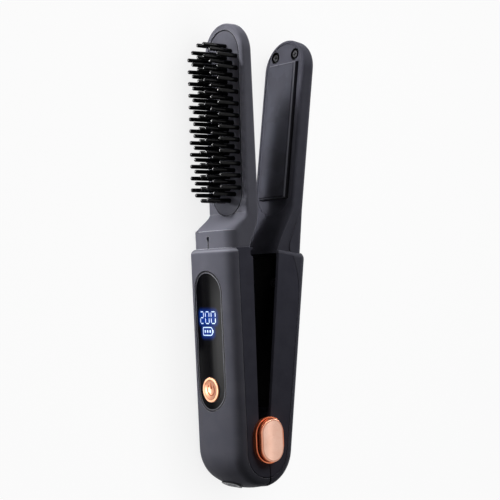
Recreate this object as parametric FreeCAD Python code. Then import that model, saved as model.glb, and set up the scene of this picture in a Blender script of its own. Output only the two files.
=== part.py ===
import FreeCAD
import Part
import math
import os

# Cordless hair straightening comb: two arms on a hinge, one with a bristle comb on its
# outside, both with a heated plate on the inside of their heads. Millimetres.
# X runs from the comb side (-) to the plain rear side (+), Y from the hinge to the tips,
# Z across the width. The comb lies on its side, on the plane Z = 0, with the lock on top.
# The hinge axis is the Z axis. The rear arm is drawn closed and then opened.

# Whole comb
handle_width = 33.0
front_depth = 20.5
rear_depth = 19.3
rear_depth_high = 18.0
tail_length = 24.3
open_angle = 9.4
head_width = 30.6
front_top = 93.5
rear_top_drop = 2.5
shell_wall = 1.8

# Clearances
seam = 0.25
fit_gap = 0.2
run_gap = 0.4
slide_gap = 0.06
overrun = 5.0

# Handle sections
front_crown_radius = 46.0
front_corner_radius = 5.6
rear_crown_radius = 70.0
rear_corner_radius = 4.5
lip_radius = 2.6
rear_lip_radius = 3.4
rear_lip_rise = 2.6
tail_split_angle = 3.0
tail_gap = 0.5
tail_overlap_angle = 20.0

# Side frames
frame_edge_front = 12.4
frame_edge_rear = 13.3
frame_bottom_rise = 5.8
frame_wall = 1.8
front_inner_top = 3.5
front_inner_low = 4.8
rear_inner_top = 1.9
rear_inner_low = 1.1
rear_channel = 4.6
pocket_low = 13.0
notch_radius = 1.7
notch_drop = 0.4
rear_bend_drop = 20.0
rear_bend_x = 7.3
rear_bend_bulge = 1.3

# Hinge
knuckle_radius = 6.9
knuckle_low_height = 6.0
knuckle_high_height = 6.0
spring_space = 7.6
pin_radius = 3.2
pin_bore_radius = 2.1
pin_recess = 1.2
coil_pin_gap = 0.45
coil_wire = 0.9
coil_turns = 3.5
coil_leg = 6.6

# Travel lock
lock_width = 17.2
lock_length = 22.4
lock_ring_wall = 0.55
lock_ring_height = 2.2
lock_lift = 1.5
lock_cap_width = 13.6
lock_cap_length = 20.9
lock_cap_height = 3.6
lock_cap_round = 0.8
lock_crown_radius = 30.0
lock_travel = 1.4
lock_floor_gap = 0.1
lock_release_recess = 1.9
bolt_angle = -72.0
bolt_knuckle_gap = 0.3
bolt_length = 2.2
bolt_thick = 0.6
bolt_gap = 0.1
lock_relief = 0.4

# Display window, its frame and the power button
window_low = 14.6
window_drop = 10.5
window_width = 21.8
bezel_gap = 0.4
bezel_width = 0.8
bezel_flange = 1.0
bezel_flange_thick = 0.8
bezel_inset = 0.15
panel_inset = 0.45
panel_thick = 1.3
button_rise = 10.7
button_diameter = 12.2
button_proud = 0.1
button_thick = 1.6
button_dish_radius = 16.0
button_rim = 1.3
button_flange = 0.9
button_flange_thick = 0.8
button_round = 0.35
button_travel = 0.6
button_stem_radius = 1.5
display_drop = 25.0
display_length = 18.0
display_width = 15.0

# Main board, switch and their screws
board_sink = 8.3
board_thick = 1.2
board_rise = 2.4
board_drop = 4.0
board_width = 22.0
board_boss_radius = 2.4
board_screw_inset = 4.0
switch_size = 6.0
switch_height = 3.0
plunger_radius = 1.6
plunger_sink = 1.0
component_height = 1.6
component_length = 9.0
component_width = 7.0
component_drop = 16.0

# Screws
screw_radius = 1.0
screw_head_radius = 2.0
screw_head_height = 1.3
screw_length = 6.0
front_screw_drop = 7.5
rear_screw_drop = 14.0
case_boss_radius = 2.6
case_screw_spread = 9.0

# Charging port in the tail
port_angle = 29.0
port_boss_length = 13.0
port_boss_width = 6.0
port_boss_proud = 0.4
port_width = 8.9
port_height = 3.2
port_wall = 0.35
port_depth = 6.6
port_tongue_thick = 0.7
port_tongue_width = 6.6
port_tongue_short = 0.9

# Battery
battery_rise = 2.0
battery_drop = 19.0
battery_side_gap = 1.7
battery_back_gap = 1.45
battery_round = 2.0

# Neck and head of the comb arm
collar_step = 1.2
collar_front_step = 2.7
collar_bulge = 1.0
collar_inner = 3.9
collar_inner_rise = 4.2
collar_height = 8.6
spigot_length = 7.0
shoulder_height = 8.4
comb_face_low = 5.0
comb_face_tip = 3.2
comb_inner = 2.9
head_front_round = 1.4
comb_inner_round = 1.8
head_inner_round = 1.2
collar_front_round = 6.0
shoulder_height_shares = (0.25, 0.5, 0.75)
shoulder_front_shares = (0.28, 0.56, 0.83)
shoulder_inner_shares = (0.32, 0.60, 0.84)
keyhole_radius = 1.1
keyhole_slit = 0.6
keyhole_depth = 1.4
keyhole_rise = 4.8

# Comb
comb_drop = 1.2
comb_end_gap = 3.4
comb_margin = 3.2
comb_tip_reach = 14.4
comb_thick = 1.4
bristle_radius = 1.15
bristle_tip_share = 0.85
bristle_length = 12.9
bristle_crown = 1.2
bristle_dome = 0.8
bristle_sides = 8
bristle_pitch = 5.85
bristle_margin = 1.85
bristle_column_pairs = 3
bristle_end_gap = 7.45
bristle_splay_share = 0.16

# Neck and head of the rear arm
rear_collar_outer = 14.2
rear_collar_inner = 2.0
rear_neck_length = 24.0
rear_tip_reach = 12.6
rear_face = 5.35
rear_head_outer = 13.4
rear_outer_round = 3.0
rear_ramp_height_shares = (0.25, 0.5, 0.75)
rear_ramp_shares = (0.22, 0.50, 0.80)
rear_spigot_length = 7.0
neck_sweep_x = 5.9
neck_sweep_rise = 4.0
neck_sweep_high_x = 6.3
neck_sweep_high_rise = 7.8
neck_sweep_top_x = 11.2
neck_sweep_depth = 0.8

# Heating plates and the layers behind them
plate_rise = 9.5
plate_length = 70.0
plate_margin = 5.3
plate_contact = 3.56
plate_contact_gap = 0.14
plate_bevel = 0.8
plate_flange = 0.7
plate_window_gap = 0.3
plate_side_gap = 1.2
carrier_rise = 0.8
pocket_wall = 1.9
heater_width = 14.0
heater_end_gap = 5.0
pad_width = 10.0
pad_length = 8.0
pad_end_gap = 12.0
comb_carrier_inset = 0.1
comb_carrier_thick = 1.4
comb_flange_thick = 0.7
comb_heater_thick = 0.9
comb_pad_height = 0.5
rear_carrier_inset = 0.15
rear_carrier_thick = 1.85
rear_flange_thick = 0.9
rear_heater_thick = 1.2
rear_pad_height = 1.1
tip_screw_inset = 4.97
tip_screw_angle = 43.4
tip_bore_radius = 2.6
tip_head_radius = 2.1
tip_head_sink = 1.1
tip_head_height = 0.9
tip_boss_radius = 2.5
cross_width = 0.6
cross_length = 2.6
cross_depth = 0.5

V = FreeCAD.Vector
up = V(0, 0, 1)
mid_z = handle_width / 2
head_half = head_width / 2

# Places along the comb, each taken from what carries it
rear_top = front_top - rear_top_drop
frame_bottom = tail_length - frame_bottom_rise
notch_y = rear_top - notch_drop
rear_bend_y = rear_top - rear_bend_drop
window_high = front_top - window_drop
button_y = window_low + button_rise
display_y = window_high - display_drop
board_low = window_low + board_rise
board_high = window_high - board_drop
component_y = display_y - component_drop
front_screw_y = front_top - front_screw_drop
rear_screw_y = rear_top - rear_screw_drop
battery_low = pocket_low + battery_rise
battery_high = rear_top - battery_drop
collar_high = front_top + collar_height
keyhole_y = front_top + keyhole_rise
head_low = collar_high + shoulder_height
rear_head_low = rear_top + rear_neck_length
neck_sweep_y = rear_top + neck_sweep_rise
neck_sweep_high_y = rear_top + neck_sweep_high_rise
carrier_low = head_low + carrier_rise
plate_low = head_low + plate_rise
plate_high = plate_low + plate_length
comb_tip = plate_high + comb_tip_reach
rear_tip = plate_high + rear_tip_reach
comb_low = head_low - comb_drop
comb_high = comb_tip - comb_end_gap
bristle_low = comb_low + bristle_end_gap

# Sizes that fill the room their neighbours leave
coil_radius = pin_radius + coil_pin_gap + coil_wire / 2
bolt_inner_radius = knuckle_radius + bolt_knuckle_gap
board_x = front_depth - board_sink
battery_width = handle_width - 2 * (frame_wall + battery_side_gap)
plate_width = head_width - 2 * plate_margin
comb_width = head_width - 2 * comb_margin
bristle_column_step = (comb_width / 2 - bristle_margin) / (bristle_column_pairs - 1 / 2)
bristle_rows = 1 + math.floor((comb_high - bristle_end_gap - bristle_low) / bristle_pitch)

comb_tip_axis = comb_tip - head_half
rear_tip_axis = rear_tip - head_half
tip_screw_radius = head_half - tip_screw_inset
tip_screw_y = rear_tip_axis + tip_screw_radius * math.sin(math.radians(tip_screw_angle))
tip_screw_spread = tip_screw_radius * math.cos(math.radians(tip_screw_angle))
comb_lean = math.degrees(math.atan2(comb_face_low - comb_face_tip, comb_tip_axis - head_low))
front_tail_y = front_depth - tail_length
rear_tail_y = rear_depth - tail_length
rear_shell_top = rear_top + rear_lip_rise
reach = comb_tip + tail_length
pieces = {}


# Shapes that many pieces use
def line(a, b):
    return Part.LineSegment(a, b).toShape()


def arc(a, b, c):
    return Part.Arc(a, b, c).toShape()


def face(edges):
    return Part.Face(Part.Wire(edges))


def polygon(points):
    return Part.Face(Part.makePolygon(points + points[:1]))


def box(x0, x1, y0, y1, z0, z1):
    return Part.makeBox(x1 - x0, y1 - y0, z1 - z0, V(x0, y0, z0))


def rod_x(radius, x0, x1, y, z):
    return Part.makeCylinder(radius, x1 - x0, V(x0, y, z), V(1, 0, 0))


def rod_z(radius, z0, z1, x=0, y=0):
    return Part.makeCylinder(radius, z1 - z0, V(x, y, z0), up)


def slab(points):
    # An outline in X and Y, cut through the whole width
    outline = polygon([V(x, y, -overrun) for x, y in points])
    return outline.extrude(V(0, 0, handle_width + 2 * overrun))


def between(a, b, share):
    return a + (b - a) * share


def opened(shape):
    return shape.rotated(V(0, 0, 0), up, -open_angle)


def all_in_one(shapes):
    first = shapes[0]
    return first.fuse(list(shapes[1:])).removeSplitter() if len(shapes) > 1 else first


def stadium_x(low, high, width, x0, x1):
    # A slot outline in Y and Z, centred across the width, drawn out along X
    r = width / 2
    a, b = low + r, high - r
    edges = [
        line(V(x0, a, mid_z - r), V(x0, b, mid_z - r)),
        arc(V(x0, b, mid_z - r), V(x0, high, mid_z), V(x0, b, mid_z + r)),
        line(V(x0, b, mid_z + r), V(x0, a, mid_z + r)),
        arc(V(x0, a, mid_z + r), V(x0, low, mid_z), V(x0, a, mid_z - r)),
    ]
    return face(edges).extrude(V(x1 - x0, 0, 0))


def stadium_z(width, length, z0, z1):
    # A slot outline in X and Y about the hinge axis, drawn out along Z
    r = width / 2
    h = length / 2 - r
    edges = [
        line(V(r, -h, z0), V(r, h, z0)),
        arc(V(r, h, z0), V(0, h + r, z0), V(-r, h, z0)),
        line(V(-r, h, z0), V(-r, -h, z0)),
        arc(V(-r, -h, z0), V(0, -h - r, z0), V(r, -h, z0)),
    ]
    return face(edges).extrude(V(0, 0, z1 - z0))


# Handle: a crowned section run down the handle and turned about the tail
def crowned_face(depth, crown, corner, half, root, side, y):
    centre = depth - crown
    corner_v = half - corner
    corner_u = centre + math.sqrt((crown - corner) ** 2 - corner_v ** 2)
    lean = math.atan2(corner_v, corner_u - centre)
    bisector = (lean + math.pi / 2) / 2
    tangent_u = centre + crown * math.cos(lean)
    tangent_v = crown * math.sin(lean)
    middle_u = corner_u + corner * math.cos(bisector)
    middle_v = corner_v + corner * math.sin(bisector)

    def at(u, v):
        return V(side * u, y, mid_z + v)

    edges = [
        line(at(root, -half), at(corner_u, -half)),
        arc(at(corner_u, -half), at(middle_u, -middle_v), at(tangent_u, -tangent_v)),
        arc(at(tangent_u, -tangent_v), at(depth, 0), at(tangent_u, tangent_v)),
        arc(at(tangent_u, tangent_v), at(middle_u, middle_v), at(corner_u, half)),
        line(at(corner_u, half), at(root, half)),
        line(at(root, half), at(root, -half)),
    ]
    return face(edges)


def depth_at(side, y):
    # The comb arm's depth is steady, the rear arm's falls a little towards the neck
    if side < 0:
        return front_depth
    return between(rear_depth, rear_depth_high, (y - rear_tail_y) / (rear_top - rear_tail_y))


def handle_half(side, inset, top, lip):
    crown, corner, tail_y, root = front_crown_radius, front_corner_radius, front_tail_y, 0
    rim_radius = lip_radius
    if side > 0:
        crown, corner, tail_y, root = rear_crown_radius, rear_corner_radius, rear_tail_y, -front_inner_low
        rim_radius = rear_lip_radius
    sizes = (crown - inset, corner - inset, mid_z - inset)
    ends = [crowned_face(depth_at(side, y) - inset, *sizes, root, side, y) for y in (tail_y, top)]
    straight = Part.makeLoft([end.OuterWire for end in ends], True, True)
    if lip:
        rim = [e for e in straight.Edges if e.BoundBox.YMin > top - slide_gap]
        rim = [e for e in rim if abs(side * e.CenterOfMass.x - root) > slide_gap]
        straight = straight.makeFillet(rim_radius, rim)
    turn = -side * (90 + tail_overlap_angle)
    section = crowned_face(depth_at(side, tail_y) - inset, *sizes, 0, side, tail_y)
    tail = section.revolve(V(0, tail_y, 0), up, turn)
    return straight.fuse(tail).removeSplitter()


def tail_direction(angle):
    lean = math.radians(angle)
    return math.sin(lean), -math.cos(lean)


def front_region(grow):
    # The comb arm's side of the handle, bounded by its inner edge and the tail's parting face
    tx, ty = tail_direction(tail_split_angle)
    return slab([
        (-reach, reach), (-front_inner_top + grow, reach), (-front_inner_top + grow, front_top),
        (-front_inner_low + grow, knuckle_radius), (0, 0), (tx * reach, ty * reach), (-reach, -reach),
    ])


def rear_region():
    # The rear arm's side, drawn closed; its tail face meets the comb arm's when open
    tx, ty = tail_direction(tail_split_angle + open_angle)
    gx, gy = -ty * tail_gap, tx * tail_gap
    return slab([
        (reach, reach), (-rear_inner_top, reach), (-rear_inner_top, rear_top),
        (rear_inner_low, knuckle_radius), (gx, gy), (gx + tx * reach, gy + ty * reach), (reach, -reach),
    ])


def frame_region(shrink):
    # The flat side zone of both arms: a U that goes round the hinge
    left, right = -frame_edge_front + shrink, frame_edge_rear - shrink
    low = -frame_bottom + shrink
    r = (right - left) / 2
    cx, cy = (right + left) / 2, low + r
    z0 = -overrun
    edges = [
        line(V(left, reach, z0), V(left, cy, z0)),
        arc(V(left, cy, z0), V(cx, low, z0), V(right, cy, z0)),
        line(V(right, cy, z0), V(right, reach, z0)),
        line(V(right, reach, z0), V(left, reach, z0)),
    ]
    return face(edges).extrude(V(0, 0, handle_width + 2 * overrun))


def rear_bend(shrink):
    # Top of the rear side zone: the shell's edge sweeps over it to the neck
    x0, x1 = frame_edge_rear - shrink, rear_bend_x - shrink
    low, high = rear_bend_y - shrink, rear_top
    z0 = -overrun
    mid = V((x0 + x1) / 2 + rear_bend_bulge, (low + high) / 2, z0)
    edges = [
        line(V(-reach, -reach, z0), V(x0, -reach, z0)),
        line(V(x0, -reach, z0), V(x0, low, z0)),
        arc(V(x0, low, z0), mid, V(x1, high, z0)),
        line(V(x1, high, z0), V(-reach, high, z0)),
        line(V(-reach, high, z0), V(-reach, -reach, z0)),
    ]
    return face(edges).extrude(V(0, 0, handle_width + 2 * overrun))


# Heights of the hinge's layers
low_end = knuckle_low_height
high_end = handle_width - knuckle_high_height
spring_low = mid_z - spring_space / 2
spring_high = mid_z + spring_space / 2


def screw(radius, head_radius, head_height, length, recess):
    # A cross-head screw along +X, its head's top at X = 0
    body = rod_x(head_radius, 0, head_height, 0, 0)
    body = body.fuse(rod_x(radius, 0, length, 0, 0)).removeSplitter()
    half_l, half_w = cross_length / 2, cross_width / 2
    for a, b in ((half_l, half_w), (half_w, half_l)):
        body = body.cut(box(-overrun, recess, -a, a, -b, b))
    return body


front_screw_places = [(front_screw_y, mid_z + side * case_screw_spread) for side in (-1, 1)]
rear_screw_places = [(rear_screw_y, mid_z + side * case_screw_spread) for side in (-1, 1)]


# Comb arm's handle
def front_inner_x(y):
    return between(-front_inner_top, -front_inner_low, (front_top - y) / (front_top - knuckle_radius))


front_wall_x = front_inner_x(front_screw_y) - frame_wall


def make_front_shell():
    outer = handle_half(-1, 0, front_top, True)
    inner = handle_half(-1, shell_wall, front_top + overrun, False)
    shell = outer.cut(inner).common(front_region(0)).cut(frame_region(0))
    shell = shell.cut(stadium_x(window_low, window_high, window_width, -reach, 0))
    cavity = handle_half(-1, shell_wall / 2, front_top, False)
    for y, z in front_screw_places:
        post = rod_x(case_boss_radius, -front_depth, front_wall_x - fit_gap, y, z).common(cavity)
        pilot = rod_x(screw_radius, front_wall_x - screw_length, 0, y, z)
        shell = shell.fuse(post).cut(pilot)
    return shell.cut(port_cut(fit_gap)).removeSplitter()


def make_front_frame():
    body = handle_half(-1, 0, front_top, False).common(frame_region(seam)).common(front_region(0))
    x_top = front_inner_x(front_top) - frame_wall
    x_low = front_inner_x(pocket_low) - frame_wall
    hollow = polygon([
        V(-reach, pocket_low, frame_wall), V(x_low, pocket_low, frame_wall),
        V(x_top, front_top + overrun, frame_wall), V(-reach, front_top + overrun, frame_wall),
    ]).extrude(V(0, 0, handle_width - 2 * frame_wall))
    body = body.cut(hollow)
    body = body.cut(rod_z(knuckle_radius + run_gap, low_end, high_end))
    body = body.fuse([rod_z(knuckle_radius, 0, low_end), rod_z(knuckle_radius, high_end, handle_width)])
    body = body.cut(rod_z(pin_radius, -overrun, handle_width + overrun)).cut(spring_slot(front_leg))
    posts = [rod_x(board_boss_radius, -board_x, x_top, y, z) for y, z in board_screw_places()]
    body = body.fuse(posts)
    for y, z in board_screw_places():
        pilot_end = -board_x + screw_length - board_thick
        body = body.cut(rod_x(screw_radius, -board_x - screw_length, pilot_end, y, z))
    for y, z in front_screw_places:
        seat = front_inner_x(y) - screw_head_height
        body = body.cut(rod_x(screw_radius, -reach, 0, y, z))
        body = body.cut(rod_x(screw_head_radius + fit_gap, seat, 0, y, z))
    notch_low, notch_x = handle_width - frame_wall, front_inner_x(notch_y)
    notch = rod_z(notch_radius, notch_low, handle_width + overrun, notch_x, notch_y)
    return body.cut(notch).removeSplitter()


def board_screw_places():
    span = board_width / 2 - board_screw_inset
    low, high = board_low + board_screw_inset, board_high - board_screw_inset
    return [(low, mid_z - span), (high, mid_z + span)]


# Display window
def crown_sag(half):
    # How far the panel's inner face falls back at this distance from the middle
    radius = front_crown_radius - panel_inset - panel_thick
    return radius - math.sqrt(radius ** 2 - half ** 2)


panel_back = -front_depth + panel_inset + panel_thick + slide_gap


def crowned_slice(outer_inset, inner_inset):
    outer = handle_half(-1, outer_inset, front_top, False)
    return outer.cut(handle_half(-1, inner_inset, front_top + overrun, False))


def make_bezel():
    # A thin ring in the window, held by a flange behind the shell
    low, high = window_low + bezel_gap, window_high - bezel_gap
    width = window_width - 2 * bezel_gap
    back = shell_wall + slide_gap + bezel_flange_thick
    ring = crowned_slice(bezel_inset, back).common(stadium_x(low, high, width, -reach, 0))
    wide = (window_low - bezel_flange, window_high + bezel_flange, window_width + 2 * bezel_flange)
    flange = crowned_slice(shell_wall + slide_gap, back).common(stadium_x(*wide, -reach, 0))
    inner = stadium_x(low + bezel_width, high - bezel_width, width - 2 * bezel_width, -reach, 0)
    return ring.fuse(flange).cut(inner).removeSplitter()


def make_panel():
    inset = bezel_gap + bezel_width + slide_gap
    low, high = window_low + inset, window_high - inset
    sheet = crowned_slice(panel_inset, panel_inset + panel_thick)
    panel = sheet.common(stadium_x(low, high, window_width - 2 * inset, -reach, 0))
    return panel.cut(rod_x(button_diameter / 2 + fit_gap, -reach, 0, button_y, mid_z))


def make_button():
    top = -front_depth - button_proud
    r = button_diameter / 2
    cap = rod_x(r, top, top + button_thick, button_y, mid_z)
    rim = [e for e in cap.Edges if e.BoundBox.XMax < top + slide_gap]
    cap = cap.makeFillet(button_round, rim)
    dish_r = r - button_rim
    sink = button_dish_radius - math.sqrt(button_dish_radius ** 2 - dish_r ** 2)
    dish = Part.makeSphere(button_dish_radius, V(top + sink - button_dish_radius, button_y, mid_z))
    flange_x = panel_back + crown_sag(r + button_flange)
    cap = cap.cut(dish).fuse(rod_x(r, top + button_thick, flange_x, button_y, mid_z))
    flange = rod_x(r + button_flange, flange_x, flange_x + button_flange_thick, button_y, mid_z)
    stem = rod_x(button_stem_radius, flange_x, switch_top, button_y, mid_z)
    return cap.fuse([flange, stem]).removeSplitter()


# Board, switch and display module
board_face = -board_x - board_thick
switch_top = board_face - switch_height - slide_gap


def make_board():
    half = board_width / 2
    board = box(-board_x - board_thick, -board_x, board_low, board_high, mid_z - half, mid_z + half)
    for y, z in board_screw_places():
        board = board.cut(rod_x(screw_radius, -reach, 0, y, z))
    low, high = component_y - component_length / 2, component_y + component_length / 2
    half = component_width / 2
    chip = box(board_face - component_height, board_face, low, high, mid_z - half, mid_z + half)
    return board.fuse(chip).removeSplitter()


def make_switch():
    h = switch_size / 2
    body = box(board_face - switch_height, board_face, button_y - h, button_y + h, mid_z - h, mid_z + h)
    well = board_face - switch_height + plunger_sink + button_travel + slide_gap
    return body.cut(rod_x(plunger_radius + slide_gap, -reach, well, button_y, mid_z))


def make_plunger():
    return rod_x(plunger_radius, switch_top, board_face - switch_height + plunger_sink, button_y, mid_z)


def make_display():
    x0 = panel_back + crown_sag(display_width / 2)
    low, high = display_y - display_length / 2, display_y + display_length / 2
    return box(x0, board_face, low, high, mid_z - display_width / 2, mid_z + display_width / 2)


def group_of_screws(places, x, side, radius, head_radius, head_height, length):
    base = screw(radius, head_radius, head_height, length, cross_depth)
    if side < 0:
        base = base.rotated(V(0, 0, 0), up, 180)
    return Part.makeCompound([base.translated(V(x, y, z)) for y, z in places])


# Charging port, square to the tail's curve
def port_placed(shape):
    # Drawn about the tail's own axis, pointing down along -Y, and then leaned to the comb side
    return shape.rotated(V(0, 0, 0), up, -port_angle).translated(V(0, front_tail_y, 0))


def port_slot(length, width, y0, y1):
    r = width / 2
    h = length / 2 - r
    edges = [
        line(V(-r, y0, mid_z - h), V(-r, y0, mid_z + h)),
        arc(V(-r, y0, mid_z + h), V(0, y0, mid_z + h + r), V(r, y0, mid_z + h)),
        line(V(r, y0, mid_z + h), V(r, y0, mid_z - h)),
        arc(V(r, y0, mid_z - h), V(0, y0, mid_z - h - r), V(-r, y0, mid_z - h)),
    ]
    return face(edges).extrude(V(0, y1 - y0, 0))


port_face = -front_depth - port_boss_proud


def port_cut(gap):
    return port_placed(port_slot(port_boss_length + 2 * gap, port_boss_width + 2 * gap, port_face - overrun,
                                 port_face + port_depth))


def make_port_bezel():
    block = port_slot(port_boss_length, port_boss_width, port_face, port_face + port_boss_width / 2)
    hole = port_slot(port_width + 2 * slide_gap, port_height + 2 * slide_gap, port_face - overrun, 0)
    return port_placed(block.cut(hole))


def make_port():
    can = port_slot(port_width, port_height, port_face + slide_gap, port_face + port_depth)
    floor = port_face + port_depth - port_wall
    inside = port_slot(port_width - 2 * port_wall, port_height - 2 * port_wall, port_face - overrun, floor)
    half_w, half_t = port_tongue_width / 2, port_tongue_thick / 2
    tongue = box(-half_t, half_t, port_face + port_tongue_short, floor, mid_z - half_w, mid_z + half_w)
    return port_placed(can.cut(inside).fuse(tongue).removeSplitter())


# Neck and head of the comb arm
def round_section(y, front, x1, half, r0, r1, bulge=0):
    # A rectangle with round corners, its front side crowned by the bulge
    z0, z1 = mid_z - half, mid_z + half
    k = 1 - math.sqrt(0.5)
    x0 = front + bulge
    side = line(V(x0, y, z0 + r0), V(x0, y, z1 - r0))
    if bulge:
        side = arc(V(x0, y, z0 + r0), V(front, y, mid_z), V(x0, y, z1 - r0))
    edges = [
        side,
        arc(V(x0, y, z1 - r0), V(x0 + k * r0, y, z1 - k * r0), V(x0 + r0, y, z1)),
        line(V(x0 + r0, y, z1), V(x1 - r1, y, z1)),
        arc(V(x1 - r1, y, z1), V(x1 - k * r1, y, z1 - k * r1), V(x1, y, z1 - r1)),
        line(V(x1, y, z1 - r1), V(x1, y, z0 + r1)),
        arc(V(x1, y, z0 + r1), V(x1 - k * r1, y, z0 + k * r1), V(x1 - r1, y, z0)),
        line(V(x1 - r1, y, z0), V(x0 + r0, y, z0)),
        arc(V(x0 + r0, y, z0), V(x0 + k * r0, y, z0 + k * r0), V(x0, y, z0 + r0)),
    ]
    return Part.Wire(edges)


def head_body(low, low_sizes, tip_axis, tip_sizes):
    # A head of steady width whose section is turned half round at the tip
    tip_wire = round_section(tip_axis, *tip_sizes)
    straight = Part.makeLoft([round_section(low, *low_sizes), tip_wire], True, True)
    left = Part.Face(tip_wire).common(box(-reach, reach, 0, reach, -reach, mid_z))
    tip = left.revolve(V(0, tip_axis, mid_z), V(1, 0, 0), 180)
    return straight.fuse(tip).removeSplitter()


def make_comb_head():
    collar_front = front_depth - collar_front_step
    collar_half = mid_z - collar_step
    collar_rounds = (collar_half, collar_front_round, head_inner_round, collar_bulge)
    foot = (-collar_front, -collar_inner, *collar_rounds)
    start = (-collar_front, -collar_inner + collar_inner_rise, *collar_rounds)
    end = (-comb_face_low, comb_inner, head_half, head_front_round, comb_inner_round, 0)
    tip = (-comb_face_tip, comb_inner, head_half, head_front_round, comb_inner_round)
    low = round_section(front_top, *foot)
    high = round_section(collar_high, *start)
    collar = Part.makeLoft([low, high], True, True)
    sections = [high]
    for h, f, i in zip(shoulder_height_shares, shoulder_front_shares, shoulder_inner_shares):
        y = between(collar_high, head_low, h)
        sizes = [between(start[0], end[0], f), between(start[1], end[1], i)]
        sizes += [between(a, b, h) for a, b in zip(start[2:], end[2:])]
        sections.append(round_section(y, *sizes))
    sections.append(round_section(head_low, *end))
    shoulder = Part.makeLoft(sections, True, False)
    head = head_body(head_low, end, comb_tip_axis, tip)
    inset = shell_wall + fit_gap
    spigot_low = front_top - spigot_length
    spigot = crowned_face(
        front_depth - inset, front_crown_radius - inset, front_corner_radius - inset, mid_z - inset,
        -front_inner_x(spigot_low) + frame_wall + fit_gap, -1, spigot_low,
    ).extrude(V(0, spigot_length, 0))
    for y, z in front_screw_places:
        spigot = spigot.cut(rod_x(case_boss_radius + fit_gap, -reach, reach, y, z))
    body = all_in_one([head, shoulder, collar, spigot])
    recess_width = comb_width + 2 * fit_gap
    recess = stadium_x(comb_low - fit_gap, comb_high + fit_gap, recess_width, -overrun, comb_thick)
    body = cut_plate_pocket(body.cut(comb_placed(recess)), -1)
    hole = rod_x(keyhole_radius, -collar_front - overrun, -collar_front + keyhole_depth, keyhole_y, mid_z)
    slit = box(-collar_front - overrun, -collar_front + keyhole_depth / 2, front_top, keyhole_y,
               mid_z - keyhole_slit / 2, mid_z + keyhole_slit / 2)
    return body.cut(hole).cut(slit)


def comb_placed(shape):
    # Drawn with its face at X = 0, then set on the head's face and leaned with it
    pivot = V(-comb_face_low, head_low, 0)
    return shape.translated(V(-comb_face_low, 0, 0)).rotated(pivot, up, -comb_lean)


def bristle_places():
    # Columns in pairs from the middle out; each pair outwards starts half a pitch
    # higher and has a row less, so the field narrows with the rounded ends
    places = []
    for pair in range(bristle_column_pairs):
        z = (pair + 0.5) * bristle_column_step
        for row in range(bristle_rows - pair):
            y = bristle_low + (row + pair / 2) * bristle_pitch
            places += [(y, -z), (y, z)]
    return places


def bristle_reach(z):
    # The middle columns are longest, so the tips lie on a crown
    share = abs(z) / (comb_width / 2 - bristle_margin)
    return bristle_length + bristle_crown * (1 - share ** 3)


def make_bristle(y, z):
    length = bristle_reach(z)
    turns = [2 * math.pi * (k + 0.5) / bristle_sides for k in range(bristle_sides + 1)]

    def ring(x, r):
        out = z * bristle_splay_share * -x / bristle_length
        middle = mid_z + z + out
        return Part.makePolygon([V(x, y + r * math.cos(t), middle + r * math.sin(t)) for t in turns])

    tip_radius = bristle_radius * bristle_tip_share
    shaft_end = -length + bristle_dome
    root, tip = ring(comb_thick / 2, bristle_radius), ring(-length, tip_radius / 2)
    return Part.makeLoft([root, ring(shaft_end, tip_radius), tip], True, True)


def make_comb():
    base = stadium_x(comb_low, comb_high, comb_width, 0, comb_thick)
    return comb_placed(base.fuse([make_bristle(y, z) for y, z in bristle_places()]))


# Plate stacks: drawn with the head's opening towards +X for the comb arm (side -1) and
# towards -X for the rear arm (side +1); distances run from the plate's face into the head
def stack_x(side, depth):
    if side < 0:
        return plate_contact - plate_contact_gap - depth
    return plate_contact + depth


def stack_slab(side, d0, d1, low, high, width):
    a, b = stack_x(side, d0), stack_x(side, d1)
    return box(min(a, b), max(a, b), low, high, mid_z - width / 2, mid_z + width / 2)


def stack_rod(side, radius, d0, d1, y, z):
    a, b = stack_x(side, d0), stack_x(side, d1)
    return rod_x(radius, min(a, b), max(a, b), y, z)


def stack_stadium(side, d0, d1, low, high, width):
    a, b = stack_x(side, d0), stack_x(side, d1)
    return stadium_x(low, high, width, min(a, b), max(a, b))


pocket_width = head_width - 2 * pocket_wall
tip_places = [(tip_screw_y, mid_z + side * tip_screw_spread) for side in (-1, 1)]


class Stack:
    # Depths from a plate's face to the layers behind it
    def __init__(self, rim, inset, carrier, flange, heater, pad, tip):
        self.carrier_face = rim + inset
        self.carrier_back = self.carrier_face + carrier
        self.flange_face = self.carrier_back + slide_gap
        self.flange_back = self.flange_face + flange
        self.heater_back = self.flange_back + heater
        self.floor = self.heater_back + pad
        self.high = tip - pocket_wall


stacks = {
    -1: Stack(plate_contact - plate_contact_gap - comb_inner, comb_carrier_inset, comb_carrier_thick,
              comb_flange_thick, comb_heater_thick, comb_pad_height, comb_tip),
    1: Stack(rear_face - plate_contact, rear_carrier_inset, rear_carrier_thick,
             rear_flange_thick, rear_heater_thick, rear_pad_height, rear_tip),
}


def cut_plate_pocket(body, side):
    stack = stacks[side]
    body = body.cut(stack_stadium(side, -overrun, stack.floor, carrier_low, stack.high, pocket_width))
    sunk = stack.floor + slide_gap
    posts = [stack_rod(side, tip_boss_radius, stack.carrier_back, sunk, y, z) for y, z in tip_places]
    ledge_high = carrier_low + pocket_wall
    posts.append(stack_slab(side, stack.carrier_back, sunk, carrier_low, ledge_high, pocket_width / 2))
    body = body.fuse(posts)
    for y, z in tip_places:
        body = body.cut(stack_rod(side, screw_radius, -overrun, stack.floor, y, z))
    return body


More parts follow.
